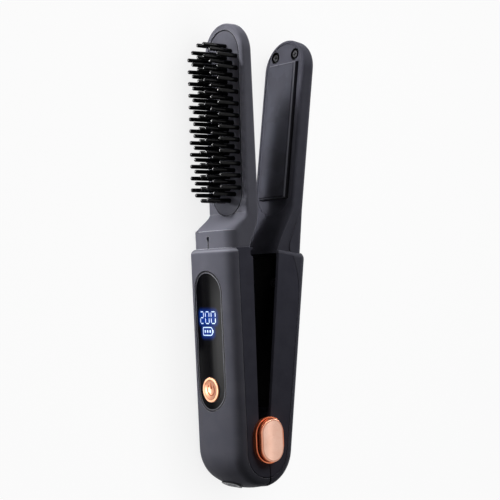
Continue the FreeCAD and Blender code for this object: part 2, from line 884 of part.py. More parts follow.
def make_carrier(side):
    stack = stacks[side]
    low, high = carrier_low + fit_gap, stack.high - fit_gap
    width = pocket_width - 2 * fit_gap
    ring = stack_stadium(side, stack.carrier_face, stack.carrier_back, low, high, width)
    window = (plate_low - plate_window_gap, plate_high + plate_window_gap, plate_width + 2 * plate_side_gap)
    ring = ring.cut(stack_slab(side, -overrun, reach, *window))
    for y, z in tip_places:
        bore_end = stack.carrier_face + tip_head_sink
        ring = ring.cut(stack_rod(side, tip_bore_radius, -overrun, bore_end, y, z))
        ring = ring.cut(stack_rod(side, screw_radius, -overrun, reach, y, z))
    return ring


def make_plate(side):
    stack = stacks[side]
    block = stack_slab(side, 0, stack.flange_face, plate_low, plate_high, plate_width)
    edge_x = stack_x(side, 0)
    rim = [e for e in block.Edges if abs(e.CenterOfMass.x - edge_x) < slide_gap]
    block = block.makeChamfer(plate_bevel, rim)
    grow = plate_window_gap + plate_flange
    flange = stack_slab(side, stack.flange_face, stack.flange_back, plate_low - grow, plate_high + grow,
                        plate_width + 2 * (plate_side_gap + plate_flange))
    return block.fuse(flange).removeSplitter()


def make_heater(side):
    stack = stacks[side]
    low, high = plate_low + heater_end_gap, plate_high - heater_end_gap
    return stack_slab(side, stack.flange_back, stack.heater_back, low, high, heater_width)


def make_pads(side):
    stack = stacks[side]
    places = (plate_low + pad_end_gap, plate_high - pad_end_gap - pad_length)
    return Part.makeCompound([
        stack_slab(side, stack.heater_back, stack.floor, y, y + pad_length, pad_width) for y in places
    ])


def make_tip_screws(side):
    stack = stacks[side]
    head_top = stack_x(side, stack.carrier_face + tip_head_sink - tip_head_height)
    length = stack.floor - stack.carrier_face - tip_head_sink + tip_head_height
    sizes = (screw_radius, tip_head_radius, tip_head_height, length)
    return group_of_screws(tip_places, head_top, side, *sizes)


# Rear arm, drawn closed
def rear_inner_x(y):
    share = (rear_top - y) / (rear_top - knuckle_radius)
    return between(-rear_inner_top, rear_inner_low, share)


rear_wall_x = rear_inner_x(rear_screw_y) + rear_channel


def make_rear_shell():
    outer = handle_half(1, 0, rear_shell_top, True)
    inner = handle_half(1, shell_wall, rear_shell_top + overrun, False)
    side_zone = frame_region(0).common(rear_bend(0))
    shell = outer.cut(inner).common(rear_region()).cut(side_zone)
    neck_half = mid_z - collar_step + fit_gap
    neck_outer, neck_low = rear_collar_outer + fit_gap, rear_top - fit_gap
    shell = shell.cut(box(-reach, neck_outer, neck_low, reach, mid_z - neck_half, mid_z + neck_half))
    cavity = handle_half(1, shell_wall / 2, rear_top, False)
    for y, z in rear_screw_places:
        post = rod_x(case_boss_radius, rear_wall_x + frame_wall + fit_gap, rear_depth, y, z).common(cavity)
        pilot_end = rear_wall_x + screw_length - screw_head_height
        shell = shell.fuse(post).cut(rod_x(screw_radius, 0, pilot_end, y, z))
    return shell.removeSplitter()


def make_rear_frame():
    side_zone = frame_region(seam).common(rear_bend(seam))
    body = handle_half(1, 0, rear_top, False).common(side_zone).common(rear_region())
    channel = polygon([
        V(rear_inner_x(pocket_low) + rear_channel, pocket_low, frame_wall),
        V(rear_inner_x(rear_top) + rear_channel, rear_top - frame_wall, frame_wall),
        V(-reach, rear_top - frame_wall, frame_wall), V(-reach, pocket_low, frame_wall),
    ]).extrude(V(0, 0, handle_width - 2 * frame_wall))
    back = rear_channel + frame_wall
    store = polygon([
        V(rear_inner_x(pocket_low) + back, pocket_low, frame_wall),
        V(rear_inner_x(rear_top) + back, rear_top + overrun, frame_wall),
        V(reach, rear_top + overrun, frame_wall), V(reach, pocket_low, frame_wall),
    ]).extrude(V(0, 0, handle_width - 2 * frame_wall))
    body = body.cut(channel).cut(store)
    wide = knuckle_radius + run_gap
    body = body.cut(rod_z(wide, -overrun, low_end + run_gap))
    body = body.cut(rod_z(wide, high_end - run_gap, handle_width + overrun))
    body = body.fuse(rod_z(knuckle_radius, low_end + run_gap, high_end - run_gap))
    body = body.cut(rod_z(coil_radius + coil_wire + run_gap, spring_low, spring_high))
    body = body.cut(rod_z(pin_radius + slide_gap, -overrun, handle_width + overrun))
    relief = stadium_z(lock_width + 2 * run_gap, lock_length + 2 * run_gap, handle_width - lock_relief,
                       handle_width + overrun)
    for turn in (0, open_angle):
        body = body.cut(relief.rotated(V(0, 0, 0), up, turn))
        body = body.cut(bolt_blade(bolt_gap, handle_width - lock_relief - lock_travel, handle_width, turn))
        body = body.cut(spring_slot(front_leg).rotated(V(0, 0, 0), up, turn))
    body = body.cut(spring_slot(rear_leg).rotated(V(0, 0, 0), up, open_angle))
    for y, z in rear_screw_places:
        body = body.cut(rod_x(screw_radius, 0, reach, y, z))
        body = body.cut(rod_x(screw_head_radius + fit_gap, 0, rear_wall_x, y, z))
    return body.removeSplitter()


def make_rear_head():
    outer_half = mid_z - collar_step
    start = (-rear_collar_inner, rear_collar_outer, outer_half, head_inner_round, rear_outer_round)
    end = (rear_face, rear_head_outer, head_half, head_inner_round, rear_outer_round)
    sections = [round_section(rear_top, *start)]
    for h, i in zip(rear_ramp_height_shares, rear_ramp_shares):
        sizes = [between(start[0], end[0], i)] + [between(a, b, h) for a, b in zip(start[1:], end[1:])]
        sections.append(round_section(between(rear_top, rear_head_low, h), *sizes))
    sections.append(round_section(rear_head_low, *end))
    neck = Part.makeLoft(sections, True, False)
    neck = neck.cut([neck_sweep(mid_z - outer_half, -1), neck_sweep(mid_z + outer_half, 1)])
    head = head_body(rear_head_low, end, rear_tip_axis, end)
    inset = shell_wall + fit_gap
    spigot_low = rear_top - rear_spigot_length
    spigot = crowned_face(
        depth_at(1, rear_shell_top) - inset, rear_crown_radius - inset, rear_corner_radius - inset,
        mid_z - inset, rear_inner_x(spigot_low) + rear_channel + frame_wall + fit_gap, 1, spigot_low,
    ).extrude(V(0, rear_shell_top - rear_lip_radius / 2 - spigot_low, 0))
    return cut_plate_pocket(all_in_one([head, neck, spigot]), 1)


def neck_sweep(z, side):
    # A shallow hollow on the neck's side: the line of the side zone sweeps on over the
    # neck and runs out where the head starts
    start, middle = V(rear_bend_x, rear_top, 0), V(neck_sweep_x, neck_sweep_y, 0)
    turn, end = V(neck_sweep_high_x, neck_sweep_high_y, 0), V(neck_sweep_top_x, rear_head_low, 0)
    edges = [
        line(V(-reach, rear_top, 0), start),
        arc(start, middle, turn),
        line(turn, end),
        line(end, V(-reach, rear_head_low, 0)),
        line(V(-reach, rear_head_low, 0), V(-reach, rear_top, 0)),
    ]
    outline = face(edges).extrude(V(0, 0, handle_width))
    wedge = polygon([
        V(-reach, rear_top, z - side * neck_sweep_depth), V(-reach, rear_head_low, z),
        V(-reach, rear_head_low, z + side * overrun), V(-reach, rear_top, z + side * overrun),
    ]).extrude(V(2 * reach, 0, 0))
    return outline.common(wedge)


def make_battery():
    x0 = rear_inner_x(battery_low) + rear_channel + frame_wall + fit_gap
    x1 = depth_at(1, battery_high) - shell_wall - battery_back_gap
    half = battery_width / 2
    cell = box(x0, x1, battery_low, battery_high, mid_z - half, mid_z + half)
    long_edges = [e for e in cell.Edges if abs(e.tangentAt(e.FirstParameter).y) > 0.5]
    return cell.makeFillet(battery_round, long_edges)


# Hinge pin, opening spring and travel lock
def make_pin():
    low, high = pin_recess, handle_width - pin_recess
    return rod_z(pin_radius, low, high).cut(rod_z(pin_bore_radius, -overrun, handle_width + overrun))


coil_pitch = (spring_space - coil_wire - run_gap) / (coil_turns + 1)
coil_low = spring_low + coil_wire / 2 + run_gap / 2
coil_high = coil_low + coil_pitch * coil_turns
rear_leg = (coil_radius, coil_low)
front_leg = (-coil_radius, coil_high)


def make_spring():
    helix = Part.makeHelix(coil_pitch, coil_high - coil_low, coil_radius)
    helix.translate(V(0, 0, coil_low))
    section = Part.Wire(Part.makeCircle(coil_wire / 2, V(coil_radius, 0, coil_low), V(0, 1, 0)))
    coil = Part.Wire(helix.Edges).makePipeShell([section], True, True)
    down = V(0, -1, 0)
    legs = [Part.makeCylinder(coil_wire / 2, coil_leg, V(x, 0, z), down) for x, z in (rear_leg, front_leg)]
    return coil.fuse(legs)


def spring_slot(leg):
    half = coil_wire / 2 + fit_gap
    x, z = leg
    return box(x - half, x + half, -coil_leg - fit_gap, 0, z - half, z + half)


def bolt_blade(gap, z0, z1, turn):
    half = bolt_thick / 2 + gap
    blade = box(bolt_inner_radius - gap, bolt_inner_radius + bolt_length + gap, -half, half, z0, z1)
    return blade.rotated(V(0, 0, 0), up, bolt_angle + turn)


lock_rest = handle_width + lock_lift


def make_lock_ring():
    inner = lock_width - 2 * lock_ring_wall, lock_length - 2 * lock_ring_wall
    ring = stadium_z(lock_width, lock_length, handle_width, handle_width + lock_ring_height)
    return ring.cut(stadium_z(*inner, handle_width - overrun, lock_rest + overrun))


def make_lock_button():
    top = lock_rest + lock_cap_height
    cap = stadium_z(lock_cap_width, lock_cap_length, lock_rest, top)
    low_end_y = V(0, -lock_length / 2, top - lock_crown_radius)
    cap = cap.common(Part.makeCylinder(lock_crown_radius, lock_length, low_end_y, V(0, 1, 0)))
    crown = max(cap.Faces, key=lambda f: f.CenterOfMass.z)
    cap = cap.makeFillet(lock_cap_round, crown.Edges)
    stem = rod_z(pin_bore_radius - slide_gap, lock_release_recess, lock_rest)
    return cap.fuse(stem).removeSplitter()


def make_lock_bolt():
    low = handle_width - lock_relief + lock_floor_gap
    return bolt_blade(0, low, lock_rest, 0)


front = {
    "front_handle_shell": make_front_shell(),
    "front_side_frame": make_front_frame(),
    "comb_head_shell": make_comb_head(),
    "bristle_comb": make_comb(),
    "comb_plate_carrier": make_carrier(-1),
    "comb_heating_plate": make_plate(-1),
    "comb_heater": make_heater(-1),
    "comb_heater_pads": make_pads(-1),
    "comb_tip_screws": make_tip_screws(-1),
    "display_bezel": make_bezel(),
    "display_panel": make_panel(),
    "display_module": make_display(),
    "main_board": make_board(),
    "power_switch": make_switch(),
    "charging_port": make_port(),
    "port_bezel": make_port_bezel(),
    "hinge_pin": make_pin(),
    "opening_spring": make_spring(),
    "lock_ring": make_lock_ring(),
    "power_button": make_button(),
    "switch_plunger": make_plunger(),
    "lock_button": make_lock_button(),
    "lock_bolt": make_lock_bolt(),
}
front["board_screws"] = group_of_screws(
    board_screw_places(), board_face - screw_head_height, 1, screw_radius, screw_head_radius,
    screw_head_height, screw_length)
front["front_case_screws"] = group_of_screws(
    front_screw_places, front_inner_x(front_screw_y), -1, screw_radius, screw_head_radius,
    screw_head_height, screw_length)

rear = {
    "rear_handle_shell": make_rear_shell(),
    "rear_side_frame": make_rear_frame(),
    "rear_head_shell": make_rear_head(),
    "rear_plate_carrier": make_carrier(1),
    "rear_heating_plate": make_plate(1),
    "rear_heater": make_heater(1),
    "rear_plate_pads": make_pads(1),
    "rear_tip_screws": make_tip_screws(1),
    "battery_pack": make_battery(),
}
rear["rear_case_screws"] = group_of_screws(
    rear_screw_places, rear_wall_x - screw_head_height, 1, screw_radius, screw_head_radius,
    screw_head_height, screw_length)

os.makedirs("parts", exist_ok=True)
for name, shape in front.items():
    pieces[name] = shape
for name, shape in rear.items():
    pieces[name] = opened(shape)
for name, shape in pieces.items():
    shape.exportStep("parts/" + name + ".step")
    print(name, "solids", len(shape.Solids), "valid", shape.isValid(), "volume", round(shape.Volume, 1))
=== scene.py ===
import math

import bmesh
import bpy
from mathutils import Matrix, Vector


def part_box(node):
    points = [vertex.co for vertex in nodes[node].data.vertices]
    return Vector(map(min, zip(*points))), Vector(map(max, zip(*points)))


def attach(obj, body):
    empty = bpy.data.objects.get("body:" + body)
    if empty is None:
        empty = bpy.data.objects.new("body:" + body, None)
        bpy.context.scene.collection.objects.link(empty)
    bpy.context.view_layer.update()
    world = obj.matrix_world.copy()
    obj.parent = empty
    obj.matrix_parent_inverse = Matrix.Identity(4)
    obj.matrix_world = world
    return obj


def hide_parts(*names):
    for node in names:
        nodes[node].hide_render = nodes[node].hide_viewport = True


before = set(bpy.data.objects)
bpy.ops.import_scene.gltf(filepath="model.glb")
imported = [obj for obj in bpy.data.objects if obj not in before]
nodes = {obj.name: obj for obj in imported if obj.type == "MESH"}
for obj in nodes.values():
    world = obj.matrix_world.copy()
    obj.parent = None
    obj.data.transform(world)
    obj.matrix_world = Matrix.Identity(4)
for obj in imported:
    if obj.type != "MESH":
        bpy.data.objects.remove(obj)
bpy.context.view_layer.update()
scene = bpy.context.scene
scene.view_settings.view_transform = "Standard"
mm = 0.001
print("frame loaded:", len(nodes), "nodes")

# the comb lies on its side: Y runs from the hinge to the tips, Z is up, the bristles point to -X
shellLow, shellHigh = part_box("front_handle_shell")
midZ = (shellLow.z + shellHigh.z) / 2
outFront = -1.0             # an X well in front of the comb, m
tiny = 0.01 * mm            # slack where points are picked by their place
weldReach = 0.002 * mm      # points closer than this become one
white = (1, 1, 1, 1)
black = (0, 0, 0, 1)


# camera, at the photograph's angle: mm and degrees
cameraLook = {
    "azimuth": 50.94,       # from -X up towards +Z
    "pitch": -0.78,
    "roll": -2.667,
    "aim": (4.02, 92.19, 21.64),
    "distance": 673.6,
    "lens": 98.44,
    "sensor": 36.0,
    "clipStart": 10.0,
}


def addCamera(look):
    azimuth, pitch, roll = (math.radians(look[k]) for k in ("azimuth", "pitch", "roll"))
    out = Vector((-math.cos(azimuth), 0, math.sin(azimuth)))
    along = Vector((0, 1, 0))
    back = out * math.cos(pitch) + along * math.sin(pitch)
    up = along * math.cos(pitch) - out * math.sin(pitch)
    right = up.cross(back)
    rolledRight = right * math.cos(roll) + up * math.sin(roll)
    rolledUp = up * math.cos(roll) - right * math.sin(roll)
    place = (Vector(look["aim"]) + back * look["distance"]) * mm
    turn = Matrix((rolledRight, rolledUp, back)).transposed().to_4x4()
    data = bpy.data.cameras.new("photoCamera")
    data.lens = look["lens"]
    data.sensor_width = look["sensor"]
    data.clip_start = look["clipStart"] * mm
    camera = bpy.data.objects.new("photoCamera", data)
    camera.matrix_world = Matrix.Translation(place) @ turn
    scene.collection.objects.link(camera)
    scene.camera = camera


# shader maths: a Wire is a node's output, and sums on it add Math nodes
class Wire:
    def __init__(self, tree, socket=None):
        self.tree = tree
        self.socket = socket

    def node(self, kind, settings=None, inputs=None, output=0):
        made = self.tree.nodes.new(kind)
        for name, value in (settings or {}).items():
            setattr(made, name, value)
        for key, value in (inputs or {}).items():
            self.feed(made.inputs[key], value)
        return Wire(self.tree, made.outputs[output])

    def feed(self, socket, value):
        if isinstance(value, Wire):
            self.tree.links.new(value.socket, socket)
        else:
            socket.default_value = value

    def maths(self, operation, *values):
        return self.node("ShaderNodeMath", {"operation": operation}, dict(enumerate(values)))

    def __add__(self, other):
        return self.maths("ADD", self, other)

    def __sub__(self, other):
        return self.maths("SUBTRACT", self, other)

    def __rsub__(self, other):
        return self.maths("SUBTRACT", other, self)

    def __mul__(self, other):
        return self.maths("MULTIPLY", self, other)

    def __truediv__(self, other):
        return self.maths("DIVIDE", self, other)

    def __rtruediv__(self, other):
        return self.maths("DIVIDE", other, self)

    def __pow__(self, other):
        return self.maths("POWER", self, other)

    __radd__ = __add__
    __rmul__ = __mul__

    def atLeast(self, low):
        return self.maths("MAXIMUM", self, low)

    def atMost(self, high):
        return self.maths("MINIMUM", self, high)

    def size(self):
        return self.maths("ABSOLUTE", self)

    def ramped(self, low, high, start=0.0, end=1.0):
        # runs from start to end as the value goes from low to high, with soft ends
        limits = {1: low, 2: high, 3: start, 4: end}
        return self.node("ShaderNodeMapRange", {"interpolation_type": "SMOOTHSTEP"}, {0: self, **limits})

    def fading(self, low, high):
        return self.ramped(low, high, 1.0, 0.0)

    def within(self, edge, soft):
        # 1 below the edge and 0 above it
        return self.fading(edge - soft, edge + soft)

    def between(self, limits):
        # runs straight from one limit to the other as the value goes from 0 to 1
        low, high = limits
        return low + self * (high - low)

    def blended(self, other, share):
        return self * share + other * (1 - share)

    def mixed(self, first, second):
        # this value is the factor between two colours
        return self.node("ShaderNodeMix", {"data_type": "RGBA"}, {0: self, 6: first, 7: second}, 2)

    def noise(self, grain, detail=2.0, roughness=0.5):
        # grain is the size of one spot in mm
        inputs = {"Vector": self, "Scale": 1 / (grain * mm), "Detail": detail, "Roughness": roughness}
        return self.node("ShaderNodeTexNoise", None, inputs)

    def grit(self, grain):
        # sharper spots, for moulded grain and for brushing
        return self.noise(grain, 3.0, 0.6)

    def axes(self):
        split = self.node("ShaderNodeSeparateXYZ", None, {0: self})
        return [Wire(self.tree, output) for output in split.socket.node.outputs]


def span(first, second):
    # distance from two offsets at right angles
    return (first * first + second * second) ** 0.5


def fromSpine(along, across, straight):
    # distance from the middle line of a slot shape, which runs straight this far either way
    return span((along.size() - straight).atLeast(0.0), across)


def rgb(red, green, blue):
    # a colour as a picture shows it, 0 to 255, made linear
    shares = [c / 255 for c in (red, green, blue)]
    linear = [c / 12.92 if c <= 0.04045 else ((c + 0.055) / 1.055) ** 2.4 for c in shares]
    return (*linear, 1)


def startMaterial(name):
    material = bpy.data.materials.new(name)
    material.use_nodes = True
    tree = material.node_tree
    shader = tree.nodes["Principled BSDF"]
    place = Wire(tree).node("ShaderNodeTexCoord", None, None, "Object")
    return material, shader, place


def setShader(shader, place, values):
    for name, value in values.items():
        place.feed(shader.inputs[name], value)


# how far the softened direction agrees with the true one, on an edge and on a flat
edgeLook = {"samples": 4, "bent": 0.88, "flat": 0.99}


def softened(place, edge):
    # the surface's direction, with edges broken by a small round
    return place.node("ShaderNodeBevel", {"samples": edgeLook["samples"]}, {"Radius": edge * mm})


def paintedEdgeHighlight(place, edge):
    # 1 along sharp edges, where the plastic is painted paler as a painted highlight
    straight = place.node("ShaderNodeNewGeometry", None, None, "Normal")
    inputs = {0: softened(place, edge), 1: straight}
    agreed = place.node("ShaderNodeVectorMath", {"operation": "DOT_PRODUCT"}, inputs, "Value")
    return agreed.fading(edgeLook["bent"], edgeLook["flat"])


def grained(place, grain, strength, edge):
    # a fine moulded grain over edges that are broken by a small round
    softEdge = softened(place, edge)
    height = place.grit(grain)
    inputs = {"Strength": strength, "Distance": grain * mm, "Height": height, "Normal": softEdge}
    return place.node("ShaderNodeBump", None, inputs)


# the satin moulding of the shells, the head and the plates' carriers
satin = {"roughness": (0.44, 0.54), "specular": 0.015, "grain": 0.28, "bump": 0.10, "mottle": 9.0}
# moulded plastics: dark and light are the ends of a slow mottling, highlight is the colour of a painted
# highlight on sharp edges; grain, edge and mottle are in mm
plasticLooks = {
    "shellPlastic": {
        **satin, "dark": rgb(88, 88, 97), "light": rgb(93, 93, 102), "edge": 0.35,
        "highlight": rgb(165, 165, 174), "highlightShare": 0.6, "rimHighlightShare": 0.4,
    },
    # painted light: the comb head is a lighter copy of the satin moulding
    "headPlasticPaintedLight": {
        **satin, "dark": rgb(94, 94, 103), "light": rgb(99, 99, 108), "edge": 0.6,
        "highlight": rgb(190, 190, 198), "highlightShare": 0.8,
    },
    # painted shade: the rear arm's shells are a darker copy of the satin moulding
    "rearPlasticPaintedShade": {
        **satin, "dark": rgb(71, 71, 80), "light": rgb(76, 76, 85), "edge": 0.35,
        "highlight": rgb(130, 130, 140), "highlightShare": 0.5,
    },
    # painted shade: the plates' carriers are a darker copy of the satin moulding
    "carrierPlasticPaintedShade": {
        **satin, "dark": rgb(76, 76, 85), "light": rgb(83, 83, 92), "edge": 0.2, "mottle": 8.0,
        "highlight": rgb(130, 130, 140), "highlightShare": 0.5,
    },
    "framePlastic": {
        "dark": rgb(67, 67, 77), "light": rgb(72, 72, 82), "roughness": (0.40, 0.50),
        "specular": 0.01, "grain": 0.35, "bump": 0.12, "edge": 0.25, "mottle": 7.0,
    },
    "combPlastic": {
        "dark": rgb(80, 80, 88), "light": rgb(88, 88, 96), "roughness": (0.36, 0.46),
        "specular": 0.015, "grain": 0.30, "bump": 0.08, "edge": 0.25, "mottle": 6.0,
        "highlight": rgb(140, 140, 150), "highlightShare": 0.6,
    },
    "portPlastic": {
        "dark": rgb(40, 40, 46), "light": rgb(48, 48, 54), "roughness": (0.34, 0.44),
        "specular": 0.2, "grain": 0.25, "bump": 0.06, "edge": 0.25, "mottle": 3.0,
    },
    "switchBlack": {
        "dark": rgb(28, 28, 30), "light": rgb(34, 34, 36), "roughness": (0.4, 0.5),
        "specular": 0.4, "grain": 0.3, "bump": 0.1, "edge": 0.1, "mottle": 3.0,
    },
    "silicone": {
        "dark": rgb(168, 62, 44), "light": rgb(180, 72, 52), "roughness": (0.5, 0.62),
        "specular": 0.3, "grain": 0.4, "bump": 0.15, "edge": 0.2, "mottle": 4.0,
    },
    "heaterCeramic": {
        "dark": rgb(222, 216, 204), "light": rgb(236, 232, 222), "roughness": (0.5, 0.66),
        "specular": 0.35, "grain": 0.3, "bump": 0.2, "edge": 0.1, "mottle": 3.0,
    },
    "displayWhite": {
        "dark": rgb(205, 208, 212), "light": rgb(218, 221, 224), "roughness": (0.4, 0.5),
        "specular": 0.4, "grain": 0.3, "bump": 0.05, "edge": 0.1, "mottle": 4.0,
    },
    "batteryWrap": {
        "dark": rgb(30, 74, 128), "light": rgb(36, 84, 140), "roughness": (0.3, 0.42),
        "specular": 0.45, "grain": 0.9, "bump": 0.12, "edge": 0.2, "mottle": 11.0,
    },
    "boardGreen": {
        "dark": rgb(14, 74, 44), "light": rgb(22, 92, 56), "roughness": (0.3, 0.45),
        "specular": 0.45, "grain": 0.8, "bump": 0.1, "edge": 0.05, "mottle": 2.5,
    },
}
# slow and fine spots mottle every plastic, the fine ones a few grains wide; masked places are black, as
# painted shade in the channel, wells and seam, and as the keyhole mark's print
mottling = {
    "ends": (0.35, 0.65), "fineGrains": 3, "slowShare": 0.7, "slowRoughness": 0.5, "masked": rgb(5, 5, 6),
}


def plastic(name, darkAt=None):
    # darkAt gives the share of black at a place on the piece
    look = plasticLooks[name]
    material, shader, place = startMaterial(name)
    slow = place.noise(look["mottle"]).ramped(*mottling["ends"])
    fine = place.noise(look["grain"] * mottling["fineGrains"])
    colour = slow.blended(fine, mottling["slowShare"]).mixed(look["dark"], look["light"])
    # painted highlight along sharp edges
    if "highlight" in look:
        colour = (paintedEdgeHighlight(place, look["edge"]) * look["highlightShare"]).mixed(colour, look["highlight"])
    # painted highlight in a band on the handle's top round
    if "rimHighlightShare" in look:
        colour = (paintedRimHighlight(place) * look["rimHighlightShare"]).mixed(colour, look["highlight"])
    if darkAt:
        colour = darkAt(place).mixed(colour, mottling["masked"])
    setShader(shader, place, {
        "Base Color": colour,
        "Roughness": slow.blended(fine, mottling["slowRoughness"]).between(look["roughness"]),
        "Specular IOR Level": look["specular"],
        "Normal": grained(place, look["grain"], look["bump"], look["edge"]),
    })
    return material


# painted highlight: the round at the top of the comb arm's handle is painted paler, in a soft band this
# far below its top, mm
rimHighlightLook = {"below": 1.1, "half": 1.0}


def paintedRimHighlight(place):
    _, y, _ = place.axes()
    middle = shellHigh.y / mm - rimHighlightLook["below"]
    return (y / mm - middle).size().fading(0.0, rimHighlightLook["half"])


# painted shade: the rear arm's channel, between the frame's side walls and above the hinge, is painted
# black, mm
channelShadeLook = {"wall": 2.0, "soft": 0.1, "low": 14.0, "fade": 1.0}


def paintedChannelShade(place):
    look = channelShadeLook
    _, y, z = place.axes()
    low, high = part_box("rear_side_frame")
    half = (high.z - low.z) / 2 / mm - look["wall"]
    across = ((z - (low.z + high.z) / 2) / mm).size()
    aboveHinge = (y / mm).ramped(look["low"], look["low"] + look["fade"])
    return across.within(half, look["soft"]) * aboveHinge


# the line of the keyhole mark on the collar: half its width, its top and the front that it stays on, mm
keyholeLook = {"half": 0.3, "high": 98.2, "soft": 0.2, "front": -9.0, "fade": 1.0}


def onKeyhole(place):
    look = keyholeLook
    x, y, z = place.axes()
    line = ((z - midZ) / mm).size().fading(look["half"], look["half"] + look["soft"])
    below = (y / mm).fading(look["high"], look["high"] + look["soft"])
    inFront = (x / mm).fading(look["front"], look["front"] + look["fade"])
    return line * below * inFront


# the screws at the tips sit in wells; painted shade blackens the wells' walls and the heads' rims and
# crosses, mm
wellLook = {
    "combY": 194.4, "rearY": 190.8, "offZ": 7.506, "radius": 3.0, "soft": 0.1,
    "headRim": 1.65, "crossHalf": 0.3, "crossReach": 1.25,
}


def fromWell(place, wellY):
    # how far a place lies along and across from the nearer well
    _, y, z = place.axes()
    return y / mm - wellY, ((z - midZ) / mm).size() - wellLook["offZ"]


def paintedWellShade(wellY):
    def mask(place):
        # painted shade on the well's wall and a ring round it
        return span(*fromWell(place, wellY)).within(wellLook["radius"], wellLook["soft"])
    return mask


def paintedScrewShade(wellY):
    # painted shade on the rim of the head and in its cross
    def mask(place):
        soft = wellLook["soft"]
        along, across = fromWell(place, wellY)
        away = span(along, across)
        rim = away.ramped(wellLook["headRim"] - soft, wellLook["headRim"] + soft)
        arm = along.size().atMost(across.size()).within(wellLook["crossHalf"], soft)
        return rim.atLeast(arm * away.fading(wellLook["crossReach"], wellLook["crossReach"] + soft))
    return mask


# bare and blackened metals, edge in mm
metalLooks = {
    "steel": {
        "colour": rgb(196, 197, 200), "tint": rgb(176, 177, 182), "roughness": (0.2, 0.34), "edge": 0.1,
    },
    "portMetal": {
        "colour": rgb(205, 205, 208), "tint": rgb(186, 186, 190), "roughness": (0.2, 0.3), "edge": 0.08,
    },
    "greyScrew": {
        "colour": rgb(150, 150, 154), "tint": rgb(124, 124, 128), "roughness": (0.24, 0.36), "edge": 0.12,
    },
    "blackScrew": {
        "colour": rgb(40, 40, 43), "tint": rgb(30, 30, 33), "roughness": (0.3, 0.42), "edge": 0.12,
    },
}
# fine brushing over a slow change of tint, on every metal, mm; streaks are drawn out along Y; masked
# places get painted shade
brushing = {
    "grain": 0.12, "bump": 0.03, "streaks": (1.0, 0.06, 1.0),
    "tintSize": 5.0, "tintEnds": (0.3, 0.7), "tintShare": 0.6, "masked": rgb(12, 12, 13),
}


def brushedTone(place, brushed, look):
    slow = place.noise(brushing["tintSize"]).ramped(*brushing["tintEnds"])
    return slow.blended(brushed, brushing["tintShare"]).mixed(look["colour"], look["tint"])


def setMetal(shader, place, look, brushed, colour, metallic=1.0):
    setShader(shader, place, {
        "Base Color": colour,
        "Metallic": metallic,
        "Roughness": brushed.between(look["roughness"]),
        "Normal": grained(place, brushing["grain"], brushing["bump"], look["edge"]),
    })


def metal(name, darkAt=None):
    look = metalLooks[name]
    material, shader, place = startMaterial(name)
    streaks = place.node("ShaderNodeMapping", None, {"Vector": place, "Scale": brushing["streaks"]})
    brushed = streaks.grit(brushing["grain"])
    colour = brushedTone(place, brushed, look)
    if darkAt:
        colour = darkAt(place).mixed(colour, brushing["masked"])
    setMetal(shader, place, look, brushed, colour)
    return material


# rose-gold plating, satin; button and lock have a painted shade line where the face meets the rim. The
# button's rim is painted lighter as a painted highlight; the lock's rim and the ring are painted deeper
# orange as a painted reflection
roseLooks = {
    "roseGoldButton": {
        "colour": rgb(186, 136, 110), "tint": rgb(174, 122, 96), "rim": rgb(206, 150, 118),
        "line": rgb(122, 62, 36), "roughness": (0.30, 0.38), "edge": 0.18, "rimMetal": 1.0,
    },
    "roseGoldLock": {
        "colour": rgb(220, 180, 162), "tint": rgb(212, 168, 148), "rim": rgb(210, 132, 98),
        "line": rgb(150, 84, 54), "roughness": (0.24, 0.30), "edge": 0.25, "rimMetal": 0.5,
    },
    # painted reflection: the ring is painted deeper orange
    "roseGoldRingPaintedReflection": {
        "colour": rgb(214, 126, 90), "tint": rgb(200, 108, 74), "roughness": (0.28, 0.36), "edge": 0.18,
    },
}
# the dished face of the button, the oval face of the lock, and how the painted shade line and the painted
# rim tone set in past a face, mm
roseFaces = {
    "dishRadius": 4.75, "lockHalfWidth": 6.1, "lockHalfLength": 9.75,
    "shadeLineEnds": (0.105, 0.35), "shadeLineShare": 0.6, "toneEnds": (0.0, 0.7), "metalEnds": (0.35, 1.05),
}


def roseGold(name, pastFace=None):
    # pastFace gives the distance in mm past the edge of the face, from the place on the piece
    look = roseLooks[name]
    material, shader, place = startMaterial(name)
    brushed = place.grit(brushing["grain"])
    colour = brushedTone(place, brushed, look)
    metallic = 1.0
    if pastFace:
        past = pastFace(place)
        metallic = past.ramped(*roseFaces["metalEnds"], 1.0, look["rimMetal"])
        # painted highlight on the button's rim, painted reflection on the lock's rim
        colour = past.ramped(*roseFaces["toneEnds"]).mixed(colour, look["rim"])
        # painted shade line where face meets rim
        onShadeLine = past.size().fading(*roseFaces["shadeLineEnds"])
        colour = (onShadeLine * roseFaces["shadeLineShare"]).mixed(colour, look["line"])
    setMetal(shader, place, look, brushed, colour, metallic)
    return material


def fromDishEdge(place):
    low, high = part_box("power_button")
    _, y, z = place.axes()
    offY, offZ = y - (low.y + high.y) / 2, z - (low.z + high.z) / 2
    return span(offY, offZ) / mm - roseFaces["dishRadius"]


def fromLockFace(place):
    # distance from an oval drawn a little inside the lock's outline
    x, y, _ = place.axes()
    straight = (roseFaces["lockHalfLength"] - roseFaces["lockHalfWidth"]) * mm
    return fromSpine(y, x, straight) / mm - roseFaces["lockHalfWidth"]


